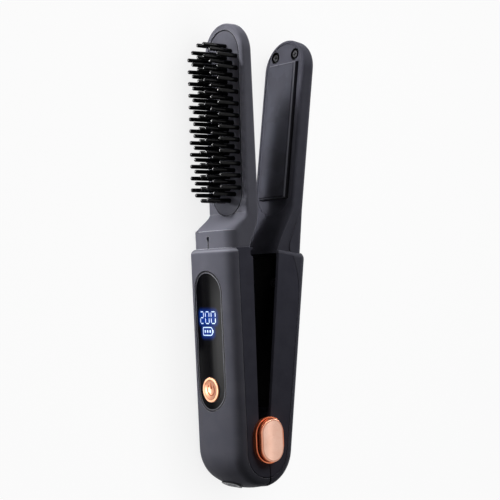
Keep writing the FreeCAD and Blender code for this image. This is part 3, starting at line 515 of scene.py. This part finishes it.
# heating plates: baked ceramic with tiny pale specks, a painted highlight on a rolled border behind a
# painted shade line, and painted shade on the black sides, mm
plateLook = {
    "dark": rgb(77, 77, 85), "light": rgb(81, 82, 91), "mottle": 12.0, "mottleEnds": (0.3, 0.7),
    "speck": rgb(108, 109, 118), "speckSize": 0.22, "speckEnds": (0.68, 0.76), "speckShare": 0.5,
    "roughness": (0.24, 0.32), "specular": 0.03, "coat": 0.03, "coatRoughness": 0.12,
    "grain": 0.2, "bump": 0.03, "edge": 0.15,
    "flangeY": 1.0, "flangeZ": 1.9,         # what the carrier covers at each end and side
    # painted highlight on the rolled border, painted shade in the fine line inside it and on the sides
    "border": 0.8, "borderHighlight": rgb(136, 136, 146), "borderHighlightShare": 0.8,
    "line": rgb(28, 28, 32), "shadeLineEnds": (0.088, 0.22), "shadeLineShare": 0.8,
    "side": rgb(6, 6, 7), "sideShadeEnds": (-0.03, 0.05),
    "turns": {"comb_heating_plate": 0.0, "rear_heating_plate": 9.4},      # degrees back to closed arms
}


def plateCoating(node):
    look = plateLook
    material, shader, place = startMaterial("plateCoating")
    turn = (0, 0, math.radians(look["turns"][node]))
    _, y, z = place.node("ShaderNodeMapping", None, {"Vector": place, "Rotation": turn}).axes()
    low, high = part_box("comb_heating_plate")
    inY = (high.y - low.y) / 2 - look["flangeY"] * mm - (y - (low.y + high.y) / 2).size()
    inZ = (high.z - low.z) / 2 - look["flangeZ"] * mm - (z - midZ).size()
    fromEdge = inY.atMost(inZ) / mm
    onBorderHighlight = fromEdge.fading(0.0, look["border"])
    onShadeLine = (fromEdge - look["border"]).size().fading(*look["shadeLineEnds"])
    slow = place.noise(look["mottle"]).ramped(*look["mottleEnds"])
    specks = place.noise(look["speckSize"], detail=1.0).ramped(*look["speckEnds"])
    colour = (specks * look["speckShare"]).mixed(slow.mixed(look["dark"], look["light"]), look["speck"])
    # painted highlight on the rolled border
    colour = (onBorderHighlight * look["borderHighlightShare"]).mixed(colour, look["borderHighlight"])
    # painted shade in the fine line inside the border
    colour = (onShadeLine * look["shadeLineShare"]).mixed(colour, look["line"])
    setShader(shader, place, {
        # painted shade on the plate's sides
        "Base Color": fromEdge.fading(*look["sideShadeEnds"]).mixed(colour, look["side"]),
        "Roughness": slow.between(look["roughness"]),
        "Specular IOR Level": look["specular"],
        "Coat Weight": look["coat"],
        "Coat Roughness": look["coatRoughness"],
        "Normal": grained(place, look["grain"], look["bump"], look["edge"]),
    })
    return material


# glossy black nylon, mm
bristleLook = {
    "dark": rgb(9, 9, 10), "light": rgb(14, 14, 16), "roughness": (0.05, 0.09), "specular": 0.12,
    "mottle": 3.0, "grain": 0.15, "bump": 0.04, "depth": 0.1,
}


def bristleNylon():
    look = bristleLook
    material, shader, place = startMaterial("bristleNylon")
    slow = place.noise(look["mottle"])
    fine = place.noise(look["grain"])
    bump = {"Strength": look["bump"], "Distance": look["depth"] * mm, "Height": fine}
    setShader(shader, place, {
        "Base Color": slow.mixed(look["dark"], look["light"]),
        "Roughness": fine.between(look["roughness"]),
        "Specular IOR Level": look["specular"],
        "Normal": place.node("ShaderNodeBump", None, bump),
    })
    return material


# ring round the window: painted black as painted shade of a groove, with a lighter lip along its inner
# edge as a painted highlight, mm
bezelLook = {
    "black": rgb(10, 10, 12), "lip": rgb(104, 104, 113), "lipShares": (0.85, 1.0),
    "roughness": (0.28, 0.36), "specular": 0.1, "mottle": 0.6, "grain": 0.25, "bump": 0.05, "edge": 0.15,
    "middleY": 48.8, "straight": 23.3, "lipRadius": 10.05, "soft": 0.08,
}


def bezelPlastic():
    look = bezelLook
    material, shader, place = startMaterial("bezelPlastic")
    _, y, z = place.axes()
    out = fromSpine(y / mm - look["middleY"], (z - midZ) / mm, look["straight"])
    onLipHighlight = out.within(look["lipRadius"], look["soft"])
    fine = place.noise(look["mottle"])
    setShader(shader, place, {
        # painted shade in the black, painted highlight on the lip
        "Base Color": (onLipHighlight * fine.between(look["lipShares"])).mixed(look["black"], look["lip"]),
        "Roughness": fine.between(look["roughness"]),
        "Specular IOR Level": look["specular"],
        "Normal": grained(place, look["grain"], look["bump"], look["edge"]),
    })
    return material


# smoked window; the lit figures and battery sign shine through it in two soft blue fields, mm
panelLook = {
    "colour": rgb(3, 3, 5), "haze": rgb(6, 6, 8), "hazeSize": 4.0, "roughness": (0.15, 0.20),
    "specular": 0.015, "glow": rgb(8, 56, 150), "glowStrength": 0.9, "glowFade": 3.8,
    "fields": ((60.2, -0.5, 5.6, 8.9), (53.6, -0.6, 4.8, 6.9)),   # Y, offset in Z, half height, half width
}


def smokedPanel():
    look = panelLook
    material, shader, place = startMaterial("smokedPanel")
    _, y, z = place.axes()
    haze = place.noise(look["hazeSize"])
    fade = look["glowFade"]
    lit = 0.0
    for fieldY, fieldZ, halfY, halfZ in look["fields"]:
        offY = ((y / mm - fieldY).size() - (halfY - fade)).atLeast(0.0)
        offZ = (((z - midZ) / mm - fieldZ).size() - (halfZ - fade)).atLeast(0.0)
        lit = (span(offY, offZ) / fade).fading(0.0, 1.0).atLeast(lit)
    setShader(shader, place, {
        "Base Color": haze.mixed(look["colour"], look["haze"]),
        "Roughness": haze.between(look["roughness"]),
        "Specular IOR Level": look["specular"],
        "Emission Color": lit.mixed(black, look["glow"]),
        "Emission Strength": look["glowStrength"],
    })
    return material


# lit bars of the display, spots in mm
litLook = {
    "unlit": rgb(40, 60, 110), "core": rgb(222, 240, 255), "edge": rgb(190, 220, 255), "strength": 1.05,
    "spotSize": 0.7, "spotEnds": (0.3, 0.7), "roughness": (0.35, 0.45),
}


def litSegment():
    look = litLook
    material, shader, place = startMaterial("litSegment")
    spots = place.noise(look["spotSize"], detail=1.0).ramped(*look["spotEnds"])
    setShader(shader, place, {
        "Base Color": look["unlit"],
        "Roughness": spots.between(look["roughness"]),
        "Emission Color": spots.mixed(look["core"], look["edge"]),
        "Emission Strength": look["strength"],
    })
    return material


# the power sign is pressed into the button and left darker, mottle in mm
symbolLook = {
    "dark": rgb(112, 54, 28), "light": rgb(134, 68, 38), "mottle": 0.2, "roughness": (0.34, 0.44),
}


def symbolInlay():
    look = symbolLook
    material, shader, place = startMaterial("symbolInlay")
    fine = place.noise(look["mottle"])
    setShader(shader, place, {
        "Base Color": fine.mixed(look["dark"], look["light"]),
        "Metallic": 1.0,
        "Roughness": fine.between(look["roughness"]),
    })
    return material


# nodes with a plain finish; dressNodes gives the others theirs
finishes = {
    "shellPlastic": ["front_handle_shell"],
    "rearPlasticPaintedShade": ["rear_head_shell", "rear_handle_shell"],
    "framePlastic": ["front_side_frame"],
    "portPlastic": ["port_bezel"],
    "switchBlack": ["power_switch", "switch_plunger"],
    "silicone": ["comb_heater_pads", "rear_plate_pads"],
    "heaterCeramic": ["comb_heater", "rear_heater"],
    "displayWhite": ["display_module"],
    "batteryWrap": ["battery_pack"],
    "boardGreen": ["main_board"],
    "steel": ["hinge_pin", "opening_spring", "lock_bolt", "board_screws"],
    "portMetal": ["charging_port"],
    "blackScrew": ["front_case_screws", "rear_case_screws"],
}


def dressNodes():
    coats = {}
    for finish, members in finishes.items():
        coat = metal(finish) if finish in metalLooks else plastic(finish)
        coats.update(dict.fromkeys(members, coat))
    for arm in ("comb", "rear"):
        plate = arm + "_heating_plate"
        wellY = wellLook[arm + "Y"]
        coats[plate] = plateCoating(plate)
        coats[arm + "_plate_carrier"] = plastic("carrierPlasticPaintedShade", paintedWellShade(wellY))
        coats[arm + "_tip_screws"] = metal("greyScrew", paintedScrewShade(wellY))
    coats["rear_side_frame"] = plastic("framePlastic", paintedChannelShade)
    coats["comb_head_shell"] = plastic("headPlasticPaintedLight", onKeyhole)
    coats["display_panel"] = smokedPanel()
    coats["display_bezel"] = bezelPlastic()
    coats["power_button"] = roseGold("roseGoldButton", fromDishEdge)
    coats["lock_button"] = roseGold("roseGoldLock", fromLockFace)
    coats["lock_ring"] = roseGold("roseGoldRingPaintedReflection")
    for member, coat in coats.items():
        nodes[member].material_slots[0].material = coat
    print("nodes dressed:", len(coats))


# modelling helpers
def deselectAll():
    bpy.ops.object.select_all(action="DESELECT")


def pick(piece):
    deselectAll()
    piece.select_set(True)
    bpy.context.view_layer.objects.active = piece


def edit(piece):
    pick(piece)
    bpy.ops.object.mode_set(mode="EDIT")
    bpy.ops.mesh.select_all(action="DESELECT")


def endEdit():
    bpy.ops.object.mode_set(mode="OBJECT")


def selectParts(piece, kind, test):
    # kind is VERT, EDGE or FACE
    bpy.ops.mesh.select_mode(type=kind)
    shape = bmesh.from_edit_mesh(piece.data)
    for part in {"VERT": shape.verts, "EDGE": shape.edges, "FACE": shape.faces}[kind]:
        part.select_set(test(part))
    shape.select_flush_mode()
    bmesh.update_edit_mesh(piece.data)


def facesFront(face):
    # within some 25 degrees of -X
    return face.normal.x < -0.9


def applyPlace(piece):
    pick(piece)
    bpy.ops.object.transform_apply(location=True, rotation=True, scale=True)


def placed(piece, matrix):
    piece.matrix_world = matrix
    applyPlace(piece)


def copyOf(piece, matrix):
    twin = piece.copy()
    twin.data = piece.data.copy()
    scene.collection.objects.link(twin)
    placed(twin, matrix)
    return twin


def joined(members, name):
    deselectAll()
    for member in members:
        member.select_set(True)
    bpy.context.view_layer.objects.active = members[0]
    bpy.ops.object.join()
    whole = bpy.context.active_object
    whole.name = name
    whole.data.name = name
    return whole


def applyModifier(piece, kind, settings):
    pick(piece)
    modifier = piece.modifiers.new(kind.lower(), kind)
    for name, value in settings.items():
        setattr(modifier, name, value)
    bpy.ops.object.modifier_apply(modifier=modifier.name)


def outwards(piece):
    edit(piece)
    bpy.ops.mesh.select_all(action="SELECT")
    bpy.ops.mesh.remove_doubles(threshold=weldReach)
    bpy.ops.mesh.normals_make_consistent(inside=False)
    endEdit()


def finishPiece(piece, body, material, smoothAngle=35):
    piece.data.materials.clear()
    piece.data.materials.append(material)
    pick(piece)
    bpy.ops.object.shade_smooth_by_angle(angle=math.radians(smoothAngle))
    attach(piece, body)
    print("piece", piece.name, len(piece.data.polygons), "faces")


# bristle comb: a base set in the head's face and rows of tapered bristles with round tips, mm and degrees
combLook = {
    "faceX": -5.0, "leanY": 110.5, "lean": 1.31,        # the face leans about this line
    "low": 109.3, "high": 201.0, "width": 24.2, "thick": 1.4,
    "ends": 64, "rim": 0.35, "rimSteps": 3,
    "pitch": 5.85, "first": 116.75, "rows": 14, "pairs": 3, "step": 4.1,
    "length": 12.9, "crown": 1.2, "crownPower": 3, "edge": 10.25,     # longer in the middle, by the crown
    "radius": 1.15, "tipShare": 0.85, "splayShare": 0.16,
    "sides": 12, "round": 0.5, "roundSteps": 3, "root": 0.7, "smoothAngle": 50,
}
# painted shade: the dark seam round the base sets in over these distances from its edge
seamShadeLook = {"outer": 0.3, "inner": 0.5, "tone": 0.85}


def paintedSeamShade(place):
    _, y, z = place.axes()
    low, high = combLook["low"], combLook["high"]
    radius = combLook["width"] / 2
    out = fromSpine(y / mm - (low + high) / 2, (z - midZ) / mm, (high - low) / 2 - radius)
    return out.ramped(radius - seamShadeLook["inner"], radius - seamShadeLook["outer"]) * seamShadeLook["tone"]


def combMatrix(look):
    pivot = Vector((look["faceX"], look["leanY"], 0)) * mm
    turn = Matrix.Rotation(math.radians(-look["lean"]), 4, "Z")
    lift = Matrix.Translation((look["faceX"] * mm, 0, midZ))
    return Matrix.Translation(pivot) @ turn @ Matrix.Translation(-pivot) @ lift


def modelCombBase(look):
    # a round slab pulled long into a slot shape, its rim broken
    deselectAll()
    half = look["width"] / 2
    startY = (look["low"] + half) * mm
    bpy.ops.mesh.primitive_cylinder_add(
        vertices=look["ends"], radius=half * mm, depth=look["thick"] * mm,
        location=(look["thick"] / 2 * mm, startY, 0), rotation=(0, -math.pi / 2, 0))
    base = bpy.context.active_object
    base.name = "comb_base"
    applyPlace(base)
    edit(base)
    selectParts(base, "VERT", lambda vert: vert.co.y > startY - tiny)
    bpy.ops.transform.translate(value=(0, (look["high"] - look["low"] - look["width"]) * mm, 0))
    selectParts(base, "FACE", facesFront)
    bpy.ops.mesh.bevel(offset=look["rim"] * mm, segments=look["rimSteps"], affect="EDGES")
    endEdit()
    outwards(base)
    placed(base, combMatrix(look))
    return base


def modelBristle(look, length):
    deselectAll()
    tip = look["radius"] * look["tipShare"]
    depth = length + look["root"]
    bpy.ops.mesh.primitive_cone_add(
        vertices=look["sides"], radius1=look["radius"] * mm, radius2=tip * mm, depth=depth * mm,
        location=((look["root"] - length) / 2 * mm, 0, 0), rotation=(0, -math.pi / 2, 0))
    bristle = bpy.context.active_object
    applyPlace(bristle)
    edit(bristle)
    selectParts(bristle, "FACE", facesFront)
    bpy.ops.mesh.bevel(offset=look["round"] * mm, segments=look["roundSteps"], affect="EDGES")
    endEdit()
    return bristle


def plantBristles(look):
    # columns in pairs from the middle out; each pair outwards starts half a pitch higher
    rows = []
    for pair in range(look["pairs"]):
        side = (pair + 0.5) * look["step"]
        crown = look["crown"] * (1 - (side / look["edge"]) ** look["crownPower"])
        first = modelBristle(look, look["length"] + crown)
        lean = math.atan2(side * look["splayShare"], look["length"])
        for row in range(look["rows"] - pair):
            y = look["first"] + (row + pair / 2) * look["pitch"]
            for sign in (-1, 1):
                turn = Matrix.Rotation(sign * lean, 4, "Y")
                rows.append(copyOf(first, Matrix.Translation((0, y * mm, sign * side * mm)) @ turn))
        bpy.data.objects.remove(first)
    field = joined(rows, "comb_bristles")
    placed(field, combMatrix(look))
    return field


# display: seven-segment figures and a battery sign, just proud of the crowned panel, mm
figureLook = {
    "text": ("abged", "abcdef", "abcdef"),       # lit bars of 2, 0 and 0
    "centreY": 60.25, "offZ": -0.45, "height": 6.15, "width": 3.4, "pitch": 4.5, "bar": 0.5, "gap": 0.55,
    "cuts": 2, "thick": 0.06,
}
batteryLook = {
    "centreY": 53.6, "offZ": -0.6, "length": 8.0, "height": 4.3, "line": 0.5, "cuts": 5,
    "round": 0.8, "roundSteps": 5, "endRound": 1.7, "endSteps": 6, "smallRoundShare": 0.3,
    "bars": 3, "barLength": 1.0, "barHeight": 1.35, "barPitch": 2.0, "nub": 0.5, "nubHeight": 1.4,
}


def flatSheet(high, wide):
    # a sheet in the plane X = 0, measured along Y and Z
    deselectAll()
    bpy.ops.mesh.primitive_plane_add(size=1, rotation=(0, -math.pi / 2, 0))
    sheet = bpy.context.active_object
    sheet.scale = (wide * mm, high * mm, 1)
    applyPlace(sheet)
    return sheet


def cutFiner(cuts):
    # the sheet that is being edited, so that it follows the crowned panel
    bpy.ops.mesh.select_all(action="SELECT")
    bpy.ops.mesh.subdivide(number_cuts=cuts)


def beforePanel(y, offZ):
    # a place well in front of the panel, from mm along Y and mm off the middle
    return Matrix.Translation((outFront, y * mm, midZ + offZ * mm))


def pointedBar(length, look):
    # a bar along Y, its ends drawn to a point half as long as the bar is wide
    point = look["bar"] / 2
    bar = flatSheet(length - 2 * point, look["bar"])
    shoulder = (length / 2 - point) * mm - tiny
    nearTip = (length - point) / 2 * mm
    edit(bar)
    for sign in (-1, 1):
        selectParts(bar, "EDGE", lambda edge: all(v.co.y * sign > shoulder for v in edge.verts))
        bpy.ops.mesh.extrude_region_move(TRANSFORM_OT_translate={"value": (0, sign * point * mm, 0)})
        selectParts(bar, "VERT", lambda vert: vert.co.y * sign > nearTip)
        bpy.ops.mesh.merge(type="CENTER")
    cutFiner(look["cuts"])
    endEdit()
    return bar


def barPlaces(look):
    # centre and turn of each of the seven bars, from the figure's middle: across, up, degrees
    halfWide = look["width"] / 2 - look["bar"] / 2
    halfHigh = look["height"] / 2 - look["bar"] / 2
    return {
        "a": (0, halfHigh, 90), "g": (0, 0, 90), "d": (0, -halfHigh, 90),
        "b": (halfWide, halfHigh / 2, 0), "c": (halfWide, -halfHigh / 2, 0),
        "f": (-halfWide, halfHigh / 2, 0), "e": (-halfWide, -halfHigh / 2, 0),
    }


def modelFigures(look):
    places = barPlaces(look)
    tall = pointedBar(look["height"] / 2 - look["bar"] / 2 - look["gap"], look)
    wide = pointedBar(look["width"] - look["bar"] - look["gap"], look)
    bars = []
    for index, lit in enumerate(look["text"]):
        middle = (index - (len(look["text"]) - 1) / 2) * look["pitch"]
        for name in lit:
            across, up, turn = places[name]
            place = beforePanel(look["centreY"] + up, look["offZ"] + middle + across)
            pattern = wide if turn else tall
            bars.append(copyOf(pattern, place @ Matrix.Rotation(math.radians(turn), 4, "X")))
    for pattern in (tall, wide):
        bpy.data.objects.remove(pattern)
    return bars


def roundedSheet(look, length, height, corner, endCorner):
    # a flat sheet, long in Z, with round corners; those of the +Z end have their own size
    sheet = flatSheet(height, length)
    edit(sheet)
    selectParts(sheet, "VERT", lambda vert: vert.co.z < 0)
    bpy.ops.mesh.bevel(offset=corner * mm, segments=look["roundSteps"], affect="VERTICES")
    selectParts(sheet, "VERT", lambda vert: vert.co.z > length / 2 * mm - tiny)
    bpy.ops.mesh.bevel(offset=endCorner * mm, segments=look["endSteps"], affect="VERTICES")
    endEdit()
    return sheet


def smallSheet(look, length, height):
    corner = length * look["smallRoundShare"]
    return roundedSheet(look, length, height, corner, corner)


def modelBattery(look):
    # a ring with round corners, three bars in it and the cell's nub at its right end
    ring = roundedSheet(look, look["length"], look["height"], look["round"], look["endRound"])
    edit(ring)
    bpy.ops.mesh.select_all(action="SELECT")
    bpy.ops.mesh.inset(thickness=look["line"] * mm)
    bpy.ops.mesh.delete(type="FACE")
    cutFiner(look["cuts"])
    endEdit()
    bar = smallSheet(look, look["barLength"], look["barHeight"])
    nub = smallSheet(look, look["nub"], look["nubHeight"])
    places = [(ring, 0), (nub, (look["length"] + look["nub"]) / 2)]
    places += [(bar, (index - (look["bars"] - 1) / 2) * look["barPitch"]) for index in range(look["bars"])]
    parts = []
    for pattern, across in places:
        parts.append(copyOf(pattern, beforePanel(look["centreY"], look["offZ"] + across)))
    for pattern in (ring, bar, nub):
        bpy.data.objects.remove(pattern)
    return parts


def layOnPanel(members, name, thick):
    # dropped along X on to the panel's crowned face and given a little thickness
    sign = joined(members, name)
    applyModifier(sign, "SHRINKWRAP", {
        "target": nodes["display_panel"], "wrap_method": "PROJECT", "use_project_x": True,
        "use_positive_direction": True, "use_negative_direction": False, "offset": 0,
    })
    applyModifier(sign, "SOLIDIFY", {"thickness": thick * mm, "offset": 0})
    outwards(sign)
    return sign


# power sign in the button's dish: an open ring and a bar, mm and degrees
symbolSize = {
    "radius": 2.7, "line": 0.5, "deep": 0.24, "open": 80, "steps": 40,
    "barLow": 0.4, "barHigh": 3.7, "barRound": 0.06, "barRoundSteps": 2,
}


def modelPowerSign(look):
    low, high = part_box("power_button")
    centre = Vector((outFront, (low.y + high.y) / 2, (low.z + high.z) / 2))
    onRing = centre + Vector((0, 0, look["radius"] * mm))
    _, top, _, _ = nodes["power_button"].ray_cast(onRing, (1, 0, 0))
    centre.x = top.x
    deselectAll()
    bpy.ops.mesh.primitive_plane_add(size=1, location=centre)
    ring = bpy.context.active_object
    ring.scale = (look["deep"] * mm, look["line"] * mm, 1)
    ring.location.y += look["radius"] * mm
    applyPlace(ring)
    edit(ring)
    bpy.ops.mesh.select_all(action="SELECT")
    start = math.radians(look["open"] / 2)
    bpy.ops.transform.rotate(value=start, orient_axis="X", center_override=centre)
    bpy.ops.mesh.spin(
        steps=look["steps"], angle=2 * math.pi - 2 * start, dupli=False, center=centre, axis=(1, 0, 0))
    endEdit()
    outwards(ring)
    deselectAll()
    barMiddle = Vector((0, (look["barLow"] + look["barHigh"]) / 2 * mm, 0))
    bpy.ops.mesh.primitive_cube_add(size=1, location=centre + barMiddle)
    bar = bpy.context.active_object
    bar.scale = (look["deep"] * mm, (look["barHigh"] - look["barLow"]) * mm, look["line"] * mm)
    applyPlace(bar)
    edit(bar)
    bpy.ops.mesh.select_all(action="SELECT")
    bpy.ops.mesh.bevel(offset=look["barRound"] * mm, segments=look["barRoundSteps"], affect="EDGES")
    endEdit()
    return joined([ring, bar], "power_sign")


# floor and world
stageLook = {
    "floorSize": 8.0, "floorDrop": 0.1,         # m and mm
    "floorColour": rgb(238, 238, 238), "floorWhite": 0.95, "ambient": 0.045,
    "shadowReach": 30, "shadowTone": 0.84, "shadowSamples": 8,      # soft shadow under the comb, mm
}


def seenDirectly(wire):
    # 1 for what the camera sees, also in mirrors and through glass
    names = ("Is Camera Ray", "Is Glossy Ray", "Is Transmission Ray")
    paths = [wire.node("ShaderNodeLightPath", None, None, name) for name in names]
    return (paths[0] + paths[1] + paths[2]).atMost(1.0)


def whiteFloor(look):
    material = bpy.data.materials.new("studioFloor")
    material.use_nodes = True
    tree = material.node_tree
    wire = Wire(tree)
    matt = wire.node("ShaderNodeBsdfDiffuse", None, {"Color": look["floorColour"]})
    reach = {"Distance": look["shadowReach"] * mm}
    openSky = wire.node("ShaderNodeAmbientOcclusion", {"samples": look["shadowSamples"]}, reach, "AO")
    tone = look["shadowTone"]
    shadowed = openSky.mixed((tone, tone, tone, 1), white)
    glow = wire.node("ShaderNodeEmission", None, {"Color": shadowed, "Strength": 1.0})
    share = seenDirectly(wire) * look["floorWhite"]
    both = wire.node("ShaderNodeMixShader", None, {0: share, 1: matt, 2: glow})
    wire.feed(tree.nodes["Material Output"].inputs["Surface"], both)
    return material


def addFloor(look):
    deselectAll()
    bpy.ops.mesh.primitive_plane_add(size=look["floorSize"], location=(0, 0, -look["floorDrop"] * mm))
    floor = bpy.context.active_object
    floor.name = "studio_floor"
    floor.data.materials.append(whiteFloor(look))
    floor.visible_shadow = floor.visible_glossy = False


def addWorld(look):
    world = bpy.data.worlds.new("studioWorld")
    world.use_nodes = True
    scene.world = world
    wire = Wire(world.node_tree)
    sky = world.node_tree.nodes["Background"]
    sky.inputs["Color"].default_value = white
    wire.feed(sky.inputs["Strength"], seenDirectly(wire).between((look["ambient"], 1)))


# a black card below the floor keeps the bristles' lamp off the plates, mm
cardLook = {"centre": (1.5, 160, -60), "size": (117, 240)}


def addCard(look):
    deselectAll()
    bpy.ops.mesh.primitive_plane_add(size=1, location=Vector(look["centre"]) * mm)
    card = bpy.context.active_object
    card.name = "lamp_card"
    card.scale = (look["size"][0] * mm, look["size"][1] * mm, 1)
    applyPlace(card)
    card.data.materials.append(plastic("switchBlack"))
    card.visible_camera = card.visible_diffuse = False


# lamps: mm, degrees and watts
# key, strips and the bristles' lamp shine from low in front, through the floor, as on a light table
panelStrip = {"aim": (-27, 48, 18), "size": (110, 85), "spread": 12}
lampLooks = {
    "keyLamp": {
        "place": (-400, 620, -188), "aim": (-5, 170, 16), "size": (280, 100), "spread": 32, "power": 0.28,
    },
    "topLamp": {
        "place": (-240, 900, 70), "aim": (15, 150, 16), "size": (260, 120), "spread": 180, "power": 2.3,
    },
    "sideFill": {
        "place": (200, 420, 480), "aim": (5, 150, 16), "size": (220, 220), "spread": 50, "power": 0.13,
    },
    "panelStripA": {**panelStrip, "place": (-630, 16, -316), "power": 0.009},
    "panelStripB": {**panelStrip, "place": (-585, 16, -387), "power": 0.006},
    "panelStripC": {**panelStrip, "place": (-532, 16, -452), "power": 0.003},
    "backFill": {
        "place": (620, 330, 110), "aim": (30, 100, 16), "size": (300, 160), "spread": 60, "power": 0.2,
    },
    "lockGlint": {
        "place": (330, -70, 600), "aim": (0, 0, 36), "size": (300, 90), "spread": 30, "power": 0.002,
    },
    "tipGlint": {
        "place": (-452, 252, -524), "aim": (-18, 158, 16), "size": (80, 170), "spread": 16, "power": 0.065,
    },
}


def addLamp(name, look):
    data = bpy.data.lights.new(name, "AREA")
    data.shape = "RECTANGLE"
    data.size, data.size_y = (side * mm for side in look["size"])
    data.energy = look["power"]
    data.spread = math.radians(look["spread"])
    lamp = bpy.data.objects.new(name, data)
    place, aim = Vector(look["place"]) * mm, Vector(look["aim"]) * mm
    turn = (aim - place).to_track_quat("-Z", "Y").to_matrix().to_4x4()
    lamp.matrix_world = Matrix.Translation(place) @ turn
    scene.collection.objects.link(lamp)


addCamera(cameraLook)
addFloor(stageLook)
addWorld(stageLook)
addCard(cardLook)
for lampName, lampLook in lampLooks.items():
    addLamp(lampName, lampLook)
print("camera, stage and lamps set")

dressNodes()

base = modelCombBase(combLook)
finishPiece(base, "front_arm", plastic("combPlastic", paintedSeamShade))
bristles = plantBristles(combLook)
finishPiece(bristles, "front_arm", bristleNylon(), combLook["smoothAngle"])
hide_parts("bristle_comb")
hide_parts("bristle_comb")

lit = litSegment()
figures = layOnPanel(modelFigures(figureLook), "display_figures", figureLook["thick"])
finishPiece(figures, "front_arm", lit)
batterySign = layOnPanel(modelBattery(batteryLook), "battery_sign", figureLook["thick"])
finishPiece(batterySign, "front_arm", lit)
finishPiece(modelPowerSign(symbolSize), "power_button", symbolInlay())
